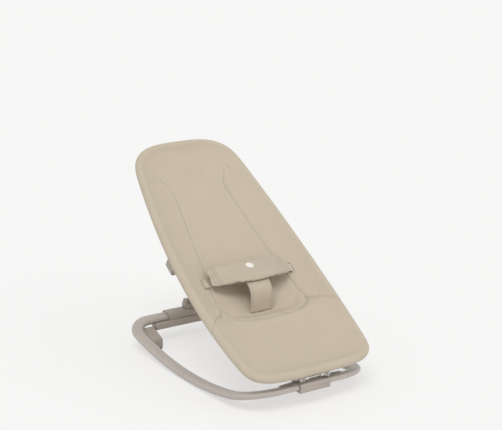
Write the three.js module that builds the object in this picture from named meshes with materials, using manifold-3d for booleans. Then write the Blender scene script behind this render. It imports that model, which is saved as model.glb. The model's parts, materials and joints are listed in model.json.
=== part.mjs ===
// Infant bouncer seat: a padded sling on a bent tube, hinged on a rocking floor loop.
// Millimetres, +Z up, the feet end towards -Y and the head end towards +Y.

import * as THREE from "three";
import { mergeVertices } from "three/addons/utils/BufferGeometryUtils.js";
import Module from "manifold-3d";

const wasm = await Module();
wasm.setup();

// ---- Driving dimensions: fits ----
const CLEARANCE = 0.3;
const RUNNING_GAP = 0.5;
const TUBE_END_GAP = 1;

// ---- Driving dimensions: seat ----
const SEAT_LENGTH = 819;
const SEAT_FOOT_Y = -196.4;
const SEAT_FOOT_Z = 87.5;
const SEAT_ANGLES = { foot: 23.6, middle: 33.7, head: 38.3 };
const SEAT_HALF_WIDTHS = [[0, 178.7], [0.4, 200], [0.72, 181.5], [1, 145.6]];
const FOOT_CORNER = { length: 93.6, power: 4.2 };
const HEAD_CORNER = { length: 115.2, power: 3.3 };
const SEAT_TUBE_RADIUS = 9;
const TUBE_WALL = 1.5;
const COVER_THICKNESS = 3;
const COVER_SAG = [[0, 0], [110, 9], [212, 16], [262, 46], [330, 36], [430, 24], [650, 11], [819, 6]];
const COVER_SAG_POWER = 2.2;
const COVER_HEM_ANGLE = -85;
const COVER_INNER_ANGLE = 125;

// ---- Driving dimensions: floor loop ----
const BASE_FRONT_Y = -165.9;
const BASE_REAR_Y = 415.5;
const BASE_FRONT_HALF_WIDTH = 174.3;
const BASE_REAR_HALF_WIDTH = 194.8;
const BASE_FRONT_RADIUS = 90.9;
const BASE_REAR_RADIUS = 54.1;
const BASE_TUBE_WIDTH = 32;
const BASE_TUBE_HEIGHT = 17;
const ROCKER_RADIUS = 938.4;
const ROCKER_LOW_Y = 105.4;
const FLOOR_PAD = { thickness: 1.5, length: 70, width: 13 };

// ---- Driving dimensions: front hinge ----
const BLOCK_HALF_WIDTH = 44;
const BLOCK_WALL = 4;
const BLOCK_WING = 92;
const AXLE_RADIUS = 3.5;
const AXLE_RISE = BASE_TUBE_HEIGHT / 2 + 13.5;
const AXLE_FORWARD = 10;
const EAR_X = 41;
const EAR_THICKNESS = 3;
const EAR_RADIUS = 7;
const CHEEK_INNER = 30;
const BRACKET_WING = 92;
const BUSH_LENGTH = 12;
const BUSH_RADIUS = 6;

// ---- Driving dimensions: rear clamp, stand feet and cradle ----
const CLAMP_HALF_WIDTH = 82;
const CLAMP_WALL = 5;
const HOUSING_HALF_WIDTH = 128;
const HOUSING_DEPTH = 15;
const HOUSING_LIP = 8;
const HOUSING_LIP_RISE = 5;
const STAND_INNER_X = 132;
const STAND_WIDTH = 30;
const STAND_REACH = 52;
const STAND_HUB_RADIUS = 9;
const STAND_PIN_RADIUS = 3;
const STAND_PAD = 5;
const SCREW_RADIUS = 2;
const SCREW_HEAD_RADIUS = 4;
const SCREW_HEAD_HEIGHT = 2.4;
const REAR_SCREW_X = 62;
const FRONT_SCREW_X = 30;
const CRADLE_HALF_WIDTH = 24;
const CRADLE_FLOOR = 6;
const CRADLE_CHEEK_HEIGHT = 22;

// ---- Driving dimensions: support leg ----
const LEG_STATION = 450;
const CROSSBAR_DROP = 45;
const CROSSBAR_RADIUS = 8;
const CLAMP_LENGTH = 34;
const LEG_TUBE_RADIUS = 9;
const LEG_HALF_WIDTH = 15;
const KNUCKLE_RADIUS = 14;
const KNUCKLE_LENGTH = 40;
const COLLAR_LENGTH = 8;
const FOOT_LENGTH = 62;
const SOCKET_DEPTH = 24;
const BUTTON_RADIUS = 7;
const BUTTON_TRAVEL = 4;
const BUTTON_RISE = 24;
const BOLT_RADIUS = 3;
const BOLT_REACH = 3.5;

// ---- Driving dimensions: harness ----
const BELT_STATION = 355;
const BELT_HALF_LENGTH = 122;
const BELT_EDGE = { upper: 41, lower: 46, taper: 20 };
const BELT_THICKNESS = 13;
const BELT_RISE = { middle: 11, ends: -10, tilt: 0.28 };
const CROTCH_WIDTH = 66;
const WEBBING_THICKNESS = 2;
const WEBBING_WIDTH = 25;
const SLOT_X = 136;
const SLOT_LENGTH = 34;
const SLOT_WIDTH = 11;

const FINISHES = {
  fabric: { color: 0xc6b8a1, roughness: 0.95, metalness: 0 },
  webbing: { color: 0xbfb199, roughness: 0.9, metalness: 0 },
  emblem: { color: 0xf1ede6, roughness: 0.8, metalness: 0 },
  tube: { color: 0xb7aea6, roughness: 0.45, metalness: 0.35 },
  plastic: { color: 0x8b817c, roughness: 0.6, metalness: 0 },
  pale_plastic: { color: 0xd9d5cf, roughness: 0.5, metalness: 0 },
  rubber: { color: 0x4b4644, roughness: 0.9, metalness: 0 },
  steel: { color: 0xb9bcc0, roughness: 0.3, metalness: 0.9 },
};

// ---- General helpers ----
const radians = THREE.MathUtils.degToRad;

function finish(name) {
  return new THREE.MeshStandardMaterial({ name, ...FINISHES[name] });
}

function addPart(group, name, geometry, finishName) {
  const mesh = new THREE.Mesh(geometry, finish(finishName));
  mesh.name = name;
  group.add(mesh);
  return mesh;
}

/** A closed solid for joining and cutting, from a geometry with its seams merged. */
function toSolid(geometry) {
  const bare = geometry.clone();
  bare.deleteAttribute("normal");
  bare.deleteAttribute("uv");
  const merged = mergeVertices(bare, 1e-4);
  return new wasm.Manifold(new wasm.Mesh({
    numProp: 3,
    vertProperties: Float32Array.from(merged.attributes.position.array),
    triVerts: Uint32Array.from(merged.index.array),
  }));
}

function toGeometry(solid) {
  const mesh = solid.getMesh();
  const geometry = new THREE.BufferGeometry();
  geometry.setAttribute("position", new THREE.BufferAttribute(mesh.vertProperties, 3));
  geometry.setIndex(new THREE.BufferAttribute(mesh.triVerts, 1));
  return geometry;
}

function cut(geometry, ...tools) {
  return toGeometry(tools.reduce((solid, tool) => solid.subtract(toSolid(tool)), toSolid(geometry)));
}

function join(geometry, ...others) {
  return toGeometry(others.reduce((solid, other) => solid.add(toSolid(other)), toSolid(geometry)));
}

/** A closed geometry from points and quads; zero-area triangles at shared points are dropped. */
function shellFromQuads(points, quads) {
  const raw = new THREE.BufferGeometry().setFromPoints(points);
  raw.setIndex(quads.flatMap(([a, b, c, d]) => [a, b, c, a, c, d]));
  const merged = mergeVertices(raw, 1e-3);
  const index = Array.from(merged.index.array);
  const kept = [];
  for (let i = 0; i < index.length; i += 3) {
    const [a, b, c] = index.slice(i, i + 3);
    if (a !== b && b !== c && c !== a) kept.push(a, b, c);
  }
  merged.setIndex(kept);
  return merged;
}

function polygon(points) {
  return new THREE.Shape(points.map(([a, b]) => new THREE.Vector2(a, b)));
}

/** Extrudes an outline drawn in (y, z) along X, from x0 to x1. */
function extrudeX(shape, x0, x1, curveSegments = 8) {
  const geometry = new THREE.ExtrudeGeometry(shape, { depth: x1 - x0, bevelEnabled: false, curveSegments });
  const axes = new THREE.Matrix4().makeBasis(
    new THREE.Vector3(0, 1, 0), new THREE.Vector3(0, 0, 1), new THREE.Vector3(1, 0, 0));
  return geometry.applyMatrix4(axes).translate(x0, 0, 0);
}

/** Extrudes an outline drawn in (x, z) along +Y, from y0 to y1. */
function extrudeY(shape, y0, y1) {
  const geometry = new THREE.ExtrudeGeometry(shape, { depth: y1 - y0, bevelEnabled: false });
  return geometry.rotateX(Math.PI / 2).translate(0, y1, 0);
}

function rodX(radius, x0, x1, y, z, sides = 20) {
  return new THREE.CylinderGeometry(radius, radius, x1 - x0, sides)
    .rotateZ(-Math.PI / 2).translate((x0 + x1) / 2, y, z);
}

function rodZ(radius, z0, z1, x, y, sides = 16) {
  return new THREE.CylinderGeometry(radius, radius, z1 - z0, sides)
    .rotateX(Math.PI / 2).translate(x, y, (z0 + z1) / 2);
}

function ellipsePoints(halfWidth, halfHeight, count, straight = 0) {
  return Array.from({ length: count }, (_, i) => {
    const angle = (i + 0.5) / count * 2 * Math.PI;
    const side = Math.sign(Math.cos(angle)) * straight;
    return [side + (halfWidth - straight) * Math.cos(angle), halfHeight * Math.sin(angle)];
  });
}

function blendStations(stations, at) {
  const clamped = THREE.MathUtils.clamp(at, stations[0][0], stations[stations.length - 1][0]);
  const next = Math.max(1, stations.findIndex(([station]) => station >= clamped));
  const [from, low] = stations[next - 1];
  const [to, high] = stations[next];
  return low + (high - low) * THREE.MathUtils.smoothstep(clamped, from, to);
}

/** A swept tube's path: points with the section's upright direction given at each one. */
class GuidedPath extends THREE.Curve {
  constructor(points, uprights) {
    super();
    this.points = points;
    this.uprights = uprights;
  }

  getPointAt(t, target = new THREE.Vector3()) {
    const last = this.points.length - 1;
    return target.copy(this.points[Math.round(t * last)]);
  }

  computeFrenetFrames() {
    const last = this.points.length - 1;
    const tangents = this.points.map((_, i) => new THREE.Vector3()
      .subVectors(this.points[Math.min(i + 1, last)], this.points[Math.max(i - 1, 0)]).normalize());
    const binormals = tangents.map((tangent, i) => new THREE.Vector3()
      .crossVectors(tangent, this.uprights[i]).normalize());
    const normals = tangents.map((tangent, i) => new THREE.Vector3().crossVectors(binormals[i], tangent));
    return { tangents, normals, binormals };
  }
}

/** Sweeps a section along a guided path; the section's x is upright and its y is sideways. */
function sweep(path, section, hollow = null) {
  const shape = polygon(section);
  if (hollow) shape.holes.push(new THREE.Path(hollow.map(([a, b]) => new THREE.Vector2(a, b))));
  return new THREE.ExtrudeGeometry(shape, { steps: path.points.length - 1, extrudePath: path });
}

// ---- Seat surface: x across, s along the profile from the foot end, n above the tube plane ----
function seatAngle(share) {
  const { foot, middle, head } = SEAT_ANGLES;
  return radians(foot * (1 - share) * (1 - 2 * share) + 4 * middle * share * (1 - share)
    + head * share * (2 * share - 1));
}

function seatFrame(s) {
  const inside = THREE.MathUtils.clamp(s, 0, SEAT_LENGTH);
  const steps = 48;
  let y = SEAT_FOOT_Y;
  let z = SEAT_FOOT_Z;
  for (let i = 0; i < steps; i += 1) {
    const angle = seatAngle((i + 0.5) / steps * inside / SEAT_LENGTH);
    y += Math.cos(angle) * inside / steps;
    z += Math.sin(angle) * inside / steps;
  }
  const angle = seatAngle(inside / SEAT_LENGTH);
  const beyond = s - inside;
  return { y: y + beyond * Math.cos(angle), z: z + beyond * Math.sin(angle), angle };
}

function seatPoint(x, s, n) {
  const { y, z, angle } = seatFrame(s);
  return new THREE.Vector3(x, y - n * Math.sin(angle), z + n * Math.cos(angle));
}

function seatNormal(s) {
  const { angle } = seatFrame(s);
  return new THREE.Vector3(0, -Math.sin(angle), Math.cos(angle));
}

function seatMatrix(s) {
  const { y, z, angle } = seatFrame(s);
  return new THREE.Matrix4().makeRotationX(angle).setPosition(0, y, z);
}

function halfWidth(s) {
  const share = s / SEAT_LENGTH;
  return SEAT_HALF_WIDTHS.reduce((sum, [at, width], i) => {
    const weight = SEAT_HALF_WIDTHS.reduce(
      (product, [other], j) => (i === j ? product : product * (share - other) / (at - other)), 1);
    return sum + weight * width;
  }, 0);
}

/** The rim's outline for q from 0 (foot centre) through 1 and 2 (corner ends) to 3 (head centre). */
function outlineAt(q) {
  if (q <= 1) {
    const angle = q * Math.PI / 2;
    const s = FOOT_CORNER.length * (1 - Math.cos(angle) ** (2 / FOOT_CORNER.power));
    return new THREE.Vector2(halfWidth(s) * Math.sin(angle) ** (2 / FOOT_CORNER.power), s);
  }
  if (q <= 2) {
    const s = THREE.MathUtils.lerp(FOOT_CORNER.length, SEAT_LENGTH - HEAD_CORNER.length, q - 1);
    return new THREE.Vector2(halfWidth(s), s);
  }
  const angle = (3 - q) * Math.PI / 2;
  const s = SEAT_LENGTH - HEAD_CORNER.length * (1 - Math.cos(angle) ** (2 / HEAD_CORNER.power));
  return new THREE.Vector2(halfWidth(s) * Math.sin(angle) ** (2 / HEAD_CORNER.power), s);
}

const CORNER_STEPS = 8;
const SIDE_STEPS = 26;

/** Right half of the rim outline moved inwards, as points with their outward direction. */
function rimOutline() {
  const stops = [];
  for (let i = 0; i <= CORNER_STEPS; i += 1) stops.push(i / CORNER_STEPS);
  for (let i = 1; i < SIDE_STEPS; i += 1) stops.push(1 + i / SIDE_STEPS);
  for (let i = 0; i <= CORNER_STEPS; i += 1) stops.push(2 + i / CORNER_STEPS);
  const nudge = 1e-4;
  return stops.map((q) => {
    const point = outlineAt(q);
    const along = outlineAt(Math.min(q + nudge, 3)).sub(outlineAt(Math.max(q - nudge, 0))).normalize();
    return { x: point.x, s: point.y, outX: along.y, outS: -along.x };
  });
}

const RIM_OUTER = SEAT_TUBE_RADIUS + CLEARANCE + COVER_THICKNESS;
const RIM_INNER = (SEAT_TUBE_RADIUS + CLEARANCE) / Math.cos(radians(21));
const RIM = rimOutline();

/** The rim all the way round, right side from the foot to the head and back down the left. */
function wholeRim() {
  const left = RIM.slice(1, -1).reverse().map(({ x, s, outX, outS }) => ({ x: -x, s, outX: -outX, outS }));
  return [...RIM, ...left];
}

function insetPoint(rim, inset) {
  return { x: rim.x - rim.outX * inset, s: rim.s - rim.outS * inset };
}

function seatTubePath() {
  const rim = wholeRim();
  const first = { ...rim[0], x: TUBE_END_GAP / 2 };
  const last = { ...rim[0], x: -TUBE_END_GAP / 2 };
  const centres = [first, ...rim.slice(1), last].map((point) => insetPoint(point, RIM_OUTER));
  return new GuidedPath(
    centres.map(({ x, s }) => seatPoint(x, s, 0)), centres.map(({ s }) => seatNormal(s)));
}

function seatTube() {
  const inner = SEAT_TUBE_RADIUS - TUBE_WALL;
  return sweep(seatTubePath(), ellipsePoints(SEAT_TUBE_RADIUS, SEAT_TUBE_RADIUS, 12),
    ellipsePoints(inner, inner, 6));
}

function seatTubeRoom() {
  const room = SEAT_TUBE_RADIUS + CLEARANCE;
  return sweep(seatTubePath(), ellipsePoints(room / Math.cos(Math.PI / 12), room / Math.cos(Math.PI / 12), 12));
}

// ---- Padded cover: a sling whose rim wraps over the seat tube and ends in a hem below it ----
const SLING_RINGS = [0, 0.25, 0.45, 0.62, 0.76, 0.88, 0.96];
const WRAP_ANGLES = [125, 100, 75, 50, 25, 0, -28, -56, COVER_HEM_ANGLE];
const UNDER_ANGLES = [COVER_HEM_ANGLE, -42, 0, 42, 84, COVER_INNER_ANGLE];

function slingHeight(ring, s) {
  const rimHeight = RIM_OUTER * Math.sin(radians(COVER_INNER_ANGLE));
  return rimHeight * ring ** 6 - blendStations(COVER_SAG, s) * (1 - ring ** COVER_SAG_POWER);
}

function slingPoint(rim, ring, lift) {
  const edge = insetPoint(rim, RIM_OUTER - RIM_OUTER * Math.cos(radians(COVER_INNER_ANGLE)));
  const axisS = THREE.MathUtils.clamp(edge.s, FOOT_CORNER.length, SEAT_LENGTH - HEAD_CORNER.length);
  const s = THREE.MathUtils.lerp(axisS, edge.s, ring);
  return seatPoint(ring * edge.x, s, slingHeight(ring, s) + lift);
}

function wrapPoint(rim, radius, degrees) {
  const { x, s } = insetPoint(rim, RIM_OUTER - radius * Math.cos(radians(degrees)));
  return seatPoint(x, s, radius * Math.sin(radians(degrees)));
}

function seatCover() {
  const rim = wholeRim();
  const rows = [
    ...SLING_RINGS.map((ring) => rim.map((point) => slingPoint(point, ring, 0))),
    ...WRAP_ANGLES.map((angle) => rim.map((point) => wrapPoint(point, RIM_OUTER, angle))),
    ...UNDER_ANGLES.map((angle) => rim.map((point) => wrapPoint(point, RIM_INNER, angle))),
    ...[...SLING_RINGS].reverse().map((ring) => rim.map((point) => slingPoint(point, ring, -COVER_THICKNESS))),
  ];
  const count = rim.length;
  const quads = [];
  for (let row = 0; row < rows.length - 1; row += 1) {
    for (let i = 0; i < count; i += 1) {
      const next = (i + 1) % count;
      quads.push([row * count + i, (row + 1) * count + i, (row + 1) * count + next, row * count + next]);
    }
  }
  const slots = [-SLOT_X, SLOT_X].map((x) => new THREE.BoxGeometry(SLOT_WIDTH, SLOT_LENGTH, 60)
    .translate(x, 0, 0).applyMatrix4(seatMatrix(BELT_STATION)));
  return cut(shellFromQuads(rows.flat(), quads), ...slots);
}

// ---- Floor loop: one flat-oval tube bent into a rounded trapezoid that curves up at both ends ----
const BASE_LOW_Z = BASE_TUBE_HEIGHT / 2 + FLOOR_PAD.thickness + CLEARANCE;

function rockerHeight(y) {
  return BASE_LOW_Z + (y - ROCKER_LOW_Y) ** 2 / (2 * ROCKER_RADIUS);
}

function railX(y) {
  const share = (y - BASE_FRONT_Y) / (BASE_REAR_Y - BASE_FRONT_Y);
  return THREE.MathUtils.lerp(BASE_FRONT_HALF_WIDTH, BASE_REAR_HALF_WIDTH, share);
}

/** Points of a rounded corner between two straight legs. */
function roundCorner(before, corner, after, radius, steps) {
  const back = before.clone().sub(corner).normalize();
  const ahead = after.clone().sub(corner).normalize();
  const half = Math.acos(back.dot(ahead)) / 2;
  const centre = corner.clone().add(back.clone().add(ahead).normalize().multiplyScalar(radius / Math.sin(half)));
  const start = corner.clone().addScaledVector(back, radius / Math.tan(half)).sub(centre);
  const turn = Math.PI - 2 * half;
  return Array.from({ length: steps + 1 },
    (_, i) => start.clone().rotateAround(new THREE.Vector2(), turn * i / steps).add(centre));
}

function baseTubePath() {
  const front = new THREE.Vector2(BASE_FRONT_HALF_WIDTH, BASE_FRONT_Y);
  const rear = new THREE.Vector2(BASE_REAR_HALF_WIDTH, BASE_REAR_Y);
  const mid = new THREE.Vector2(TUBE_END_GAP / 2, BASE_FRONT_Y);
  const frontCorner = roundCorner(mid, front, rear, BASE_FRONT_RADIUS, 7);
  const rearCorner = roundCorner(front, rear, new THREE.Vector2(0, BASE_REAR_Y), BASE_REAR_RADIUS, 6);
  const [railStart, railEnd] = [frontCorner[frontCorner.length - 1], rearCorner[0]];
  const railSteps = 14;
  const rail = Array.from({ length: railSteps - 1 },
    (_, i) => railStart.clone().lerp(railEnd, (i + 1) / railSteps));
  const right = [mid, ...frontCorner, ...rail, ...rearCorner];
  const left = [...right].reverse().map((point) => new THREE.Vector2(-point.x, point.y));
  const plan = [...right, ...left];
  const points = plan.map(({ x, y }) => new THREE.Vector3(x, y, rockerHeight(y)));
  const uprights = plan.map(({ y }) => new THREE.Vector3(0, -(y - ROCKER_LOW_Y) / ROCKER_RADIUS, 1).normalize());
  return new GuidedPath(points, uprights);
}

function baseSection(grow, count) {
  const straight = (BASE_TUBE_WIDTH - BASE_TUBE_HEIGHT) / 2;
  return ellipsePoints(BASE_TUBE_WIDTH / 2 + grow, BASE_TUBE_HEIGHT / 2 + grow, count, straight)
    .map(([across, up]) => [up, across]).reverse();
}

function baseTubeRoom() {
  return sweep(baseTubePath(), baseSection(CLEARANCE + 0.4, 16));
}

const FRONT_BAR_Z = rockerHeight(BASE_FRONT_Y);
const REAR_BAR_Z = rockerHeight(BASE_REAR_Y);
const AXLE_Y = BASE_FRONT_Y - AXLE_FORWARD;
const AXLE_Z = FRONT_BAR_Z + AXLE_RISE;

/** A screw driven upwards, with a countersunk head flush with its seat. */
function screwSolid(x, y, z0, z1, grow = 0) {
  const profile = [
    new THREE.Vector2(0, z0), new THREE.Vector2(SCREW_HEAD_RADIUS + grow, z0),
    new THREE.Vector2(SCREW_RADIUS + grow, z0 + SCREW_HEAD_HEIGHT),
    new THREE.Vector2(SCREW_RADIUS + grow, z1), new THREE.Vector2(0, z1)];
  return new THREE.LatheGeometry(profile, 12).rotateX(Math.PI / 2).translate(x, y, 0);
}

/** The bent tube with its ends inside the hinge block, drilled for the screws of both clamps. */
function baseTube() {
  const tube = sweep(baseTubePath(), baseSection(0, 16), baseSection(-TUBE_WALL, 8));
  return cut(tube, ...frontScrews(CLEARANCE), ...rearScrews(CLEARANCE));
}

function floorPad(side) {
  const half = FLOOR_PAD.length / 2;
  const top = Array.from({ length: 9 }, (_, i) => {
    const y = ROCKER_LOW_Y + half - i * half / 4;
    return [y, rockerHeight(y) - BASE_TUBE_HEIGHT / 2 - CLEARANCE];
  });
  const outline = polygon([[ROCKER_LOW_Y - half, 0], [ROCKER_LOW_Y + half, 0], ...top]);
  return extrudeX(outline, -FLOOR_PAD.width / 2, FLOOR_PAD.width / 2).translate(side * railX(ROCKER_LOW_Y), 0, 0);
}

// ---- Front hinge block, held to the front bar ----
function blockOutline(low, high) {
  const front = BASE_FRONT_Y - BASE_TUBE_WIDTH / 2 - BLOCK_WALL;
  const rear = BASE_FRONT_Y + BASE_TUBE_WIDTH / 2 + BLOCK_WALL;
  return { front, rear, low, high };
}

function blockLower() {
  const { front, rear, low, high } = blockOutline(
    FRONT_BAR_Z - BASE_TUBE_HEIGHT / 2 - BLOCK_WALL, FRONT_BAR_Z - CLEARANCE / 2);
  const shape = polygon([[front, low + 3], [front + 3, low], [rear - 3, low], [rear, low + 3],
    [rear, high], [front, high]]);
  const body = extrudeX(shape, -BLOCK_HALF_WIDTH, BLOCK_HALF_WIDTH);
  return cut(body, baseTubeRoom(), ...frontScrews(CLEARANCE));
}

function blockUpper() {
  const top = FRONT_BAR_Z + BASE_TUBE_HEIGHT / 2 + BLOCK_WALL;
  const { front, rear, low, high } = blockOutline(FRONT_BAR_Z + CLEARANCE / 2, top);
  const body = extrudeX(polygon([[front, low], [rear, low], [rear, high], [front, high]]),
    -BLOCK_HALF_WIDTH, BLOCK_HALF_WIDTH);
  const crest = FRONT_BAR_Z + BASE_TUBE_HEIGHT / 2;
  const wing = extrudeY(polygon([[-BLOCK_WING, crest + 1], [BLOCK_WING, crest + 1], [BLOCK_HALF_WIDTH, high],
    [-BLOCK_HALF_WIDTH, high]]), BASE_FRONT_Y - 9, BASE_FRONT_Y + 9);
  return cut(join(body, wing), baseTubeRoom(), ...frontScrews(CLEARANCE));
}

function frontScrews(grow) {
  const seat = FRONT_BAR_Z - BASE_TUBE_HEIGHT / 2 - BLOCK_WALL;
  const tip = FRONT_BAR_Z + BASE_TUBE_HEIGHT / 2 + 2 + grow;
  return [-1, 1].map((side) => screwSolid(side * FRONT_SCREW_X, BASE_FRONT_Y, seat, tip, grow));
}

function rearScrews(grow) {
  const seat = REAR_BAR_Z - BASE_TUBE_HEIGHT / 2 - CLEARANCE - HOUSING_DEPTH;
  const tip = REAR_BAR_Z + BASE_TUBE_HEIGHT / 2 + 2 + grow;
  return [-1, 1].map((side) => screwSolid(side * REAR_SCREW_X, BASE_REAR_Y, seat, tip, grow));
}

/** Steel ear: a rounded plate around the axle on a tongue that stands on the block's top. */
function hingeEar(side) {
  const foot = FRONT_BAR_Z + BASE_TUBE_HEIGHT / 2 + BLOCK_WALL + CLEARANCE;
  const shape = new THREE.Shape();
  shape.moveTo(BASE_FRONT_Y + 12, foot);
  shape.lineTo(AXLE_Y + EAR_RADIUS, AXLE_Z);
  shape.absarc(AXLE_Y, AXLE_Z, EAR_RADIUS, 0, Math.PI, false);
  shape.lineTo(AXLE_Y - EAR_RADIUS, foot);
  shape.closePath();
  const plate = extrudeX(shape, -EAR_THICKNESS / 2, EAR_THICKNESS / 2).translate(side * EAR_X, 0, 0);
  return cut(plate, rodX(AXLE_RADIUS + 0.1, -60, 60, AXLE_Y, AXLE_Z));
}

function buildFrontHinge(base) {
  addPart(base, "hinge_block_lower", blockLower(), "plastic");
  addPart(base, "hinge_block_upper", blockUpper(), "plastic");
  const screws = frontScrews(0);
  const tip = EAR_X + EAR_THICKNESS / 2;
  addPart(base, "hinge_axle", rodX(AXLE_RADIUS, -tip, tip, AXLE_Y, AXLE_Z), "steel");
  [["left", -1], ["right", 1]].forEach(([name, side], i) => {
    addPart(base, `hinge_screw_${name}`, screws[i], "steel");
    addPart(base, `hinge_ear_${name}`, hingeEar(side), "steel");
    const cap = rodX(AXLE_RADIUS + 2.5, 0, 3, AXLE_Y, AXLE_Z).translate(
      side > 0 ? tip + CLEARANCE : -tip - CLEARANCE - 3, 0, 0);
    addPart(base, `axle_cap_${name}`, cap, "steel");
    const inner = CHEEK_INNER - RUNNING_GAP - BUSH_LENGTH;
    const bush = cut(
      rodX(BUSH_RADIUS, inner, inner + BUSH_LENGTH, AXLE_Y, AXLE_Z), rodX(AXLE_RADIUS + 0.1, 0, 60, AXLE_Y, AXLE_Z));
    addPart(base, `axle_bush_${name}`, side > 0 ? bush : mirrorX(bush), "pale_plastic");
  });
}

/** The same closed piece on the other side of the centre plane. */
function mirrorX(geometry) {
  const mirrored = geometry.clone().scale(-1, 1, 1);
  const index = Array.from(mirrored.index.array);
  for (let i = 0; i < index.length; i += 3) [index[i], index[i + 1]] = [index[i + 1], index[i]];
  mirrored.setIndex(index);
  return mirrored;
}

// ---- Rear clamp with the support leg's cradle ----
const HOUSING_TOP = REAR_BAR_Z - BASE_TUBE_HEIGHT / 2 - CLEARANCE - 0.5;
const HOUSING_FRONT = BASE_REAR_Y - BASE_TUBE_WIDTH / 2 - CLAMP_WALL - HOUSING_LIP;
const CLAMP_TOP = REAR_BAR_Z + BASE_TUBE_HEIGHT / 2 + CLAMP_WALL;
const STAND_PIVOT_Y = HOUSING_FRONT + STAND_HUB_RADIUS + 1;
const STAND_PIVOT_Z = HOUSING_TOP - STAND_HUB_RADIUS - 3.5;

function rearHousing() {
  const low = REAR_BAR_Z - BASE_TUBE_HEIGHT / 2 - CLEARANCE - HOUSING_DEPTH;
  const lipBack = HOUSING_FRONT + HOUSING_LIP - CLEARANCE;
  const lipTop = HOUSING_TOP + HOUSING_LIP_RISE;
  const outer = polygon([[HOUSING_FRONT, low + 4], [HOUSING_FRONT + 4, low], [BASE_REAR_Y - 4, low],
    [BASE_REAR_Y - 4, HOUSING_TOP], [lipBack, HOUSING_TOP], [lipBack, lipTop], [HOUSING_FRONT + 3, lipTop],
    [HOUSING_FRONT, lipTop - 3]]);
  const rear = BASE_REAR_Y + BASE_TUBE_WIDTH / 2 + CLAMP_WALL;
  const centre = polygon([[BASE_REAR_Y - 6, low], [rear - 4, low], [rear, low + 4], [rear, HOUSING_TOP],
    [BASE_REAR_Y - 6, HOUSING_TOP]]);
  const body = join(extrudeX(outer, -HOUSING_HALF_WIDTH, HOUSING_HALF_WIDTH),
    extrudeX(centre, -CLAMP_HALF_WIDTH, CLAMP_HALF_WIDTH));
  const pinRoom = STAND_PIN_RADIUS + 0.1;
  const bores = [-1, 1].map((side) => rodX(pinRoom, -15, 15, STAND_PIVOT_Y, STAND_PIVOT_Z)
    .translate(side * HOUSING_HALF_WIDTH, 0, 0));
  return cut(body, baseTubeRoom(), ...bores, ...rearScrews(CLEARANCE));
}

function rearClamp() {
  const front = BASE_REAR_Y - BASE_TUBE_WIDTH / 2 - CLAMP_WALL + CLEARANCE;
  const rear = BASE_REAR_Y + BASE_TUBE_WIDTH / 2 + CLAMP_WALL;
  const low = HOUSING_TOP + CLEARANCE;
  const outline = polygon([[front, low], [rear, low], [rear, CLAMP_TOP - 5], [rear - 5, CLAMP_TOP],
    [front + 5, CLAMP_TOP], [front, CLAMP_TOP - 5]]);
  return cut(extrudeX(outline, -CLAMP_HALF_WIDTH, CLAMP_HALF_WIDTH), baseTubeRoom(), ...rearScrews(CLEARANCE));
}

const CRADLE_Z = CLAMP_TOP + CLEARANCE + CRADLE_FLOOR;

/** Saddle open above and behind: two cheeks beside the leg's foot and a floor notched for the bolt. */
function legCradle() {
  const [front, rear] = [BASE_REAR_Y - 13, BASE_REAR_Y + 13];
  const low = CLAMP_TOP + CLEARANCE;
  const block = extrudeX(polygon([[front, low], [rear, low], [rear, CRADLE_Z + 6],
    [rear - 10, CRADLE_Z + CRADLE_CHEEK_HEIGHT], [front, CRADLE_Z + CRADLE_CHEEK_HEIGHT]]),
  -CRADLE_HALF_WIDTH, CRADLE_HALF_WIDTH);
  const room = LEG_HALF_WIDTH + RUNNING_GAP;
  const channel = extrudeX(polygon([[front - 9, CRADLE_Z], [rear + 9, CRADLE_Z], [rear + 9, CRADLE_Z + 60],
    [front - 9, CRADLE_Z + 60]]), -room, room);
  const notchHalf = BOLT_RADIUS + RUNNING_GAP;
  const notch = extrudeX(polygon([[BASE_REAR_Y - notchHalf, CRADLE_Z - BOLT_REACH - RUNNING_GAP],
    [rear + 9, CRADLE_Z - BOLT_REACH - RUNNING_GAP], [rear + 9, CRADLE_Z + 9],
    [BASE_REAR_Y - notchHalf, CRADLE_Z + 9]]), -notchHalf, notchHalf);
  return cut(block, channel, notch);
}

function buildRearClamp(base) {
  addPart(base, "rear_housing", rearHousing(), "plastic");
  addPart(base, "rear_clamp", rearClamp(), "plastic");
  addPart(base, "leg_cradle", legCradle(), "plastic");
  const screws = rearScrews(0);
  [["left", -1], ["right", 1]].forEach(([name, side], i) => {
    addPart(base, `clamp_screw_${name}`, screws[i], "steel");
    const tip = STAND_INNER_X + STAND_WIDTH - 6;
    const pin = rodX(STAND_PIN_RADIUS, HOUSING_HALF_WIDTH - 14, tip, STAND_PIVOT_Y, STAND_PIVOT_Z);
    addPart(base, `stand_pin_${name}`, side > 0 ? pin : mirrorX(pin), "steel");
  });
}

// ---- Flip-down stand feet beside the rear housing ----
function standArm() {
  const tipY = STAND_PIVOT_Y - STAND_REACH;
  const shape = new THREE.Shape();
  shape.moveTo(tipY + 26, STAND_PAD + CLEARANCE);
  shape.lineTo(STAND_PIVOT_Y - 3, STAND_PIVOT_Z - STAND_HUB_RADIUS + 1);
  shape.absarc(STAND_PIVOT_Y, STAND_PIVOT_Z, STAND_HUB_RADIUS, -Math.PI / 2, Math.PI * 0.62, false);
  shape.lineTo(tipY + 9, STAND_PIVOT_Z - 8);
  shape.absarc(tipY + 8, STAND_PIVOT_Z - 16, 8, Math.PI / 2, Math.PI, false);
  shape.lineTo(tipY, STAND_PAD + CLEARANCE);
  shape.closePath();
  const arm = extrudeX(shape, STAND_INNER_X, STAND_INNER_X + STAND_WIDTH);
  const bore = rodX(STAND_PIN_RADIUS + RUNNING_GAP / 2, STAND_INNER_X - 9, STAND_INNER_X + STAND_WIDTH - 5,
    STAND_PIVOT_Y, STAND_PIVOT_Z);
  return cut(arm, bore);
}

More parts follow.
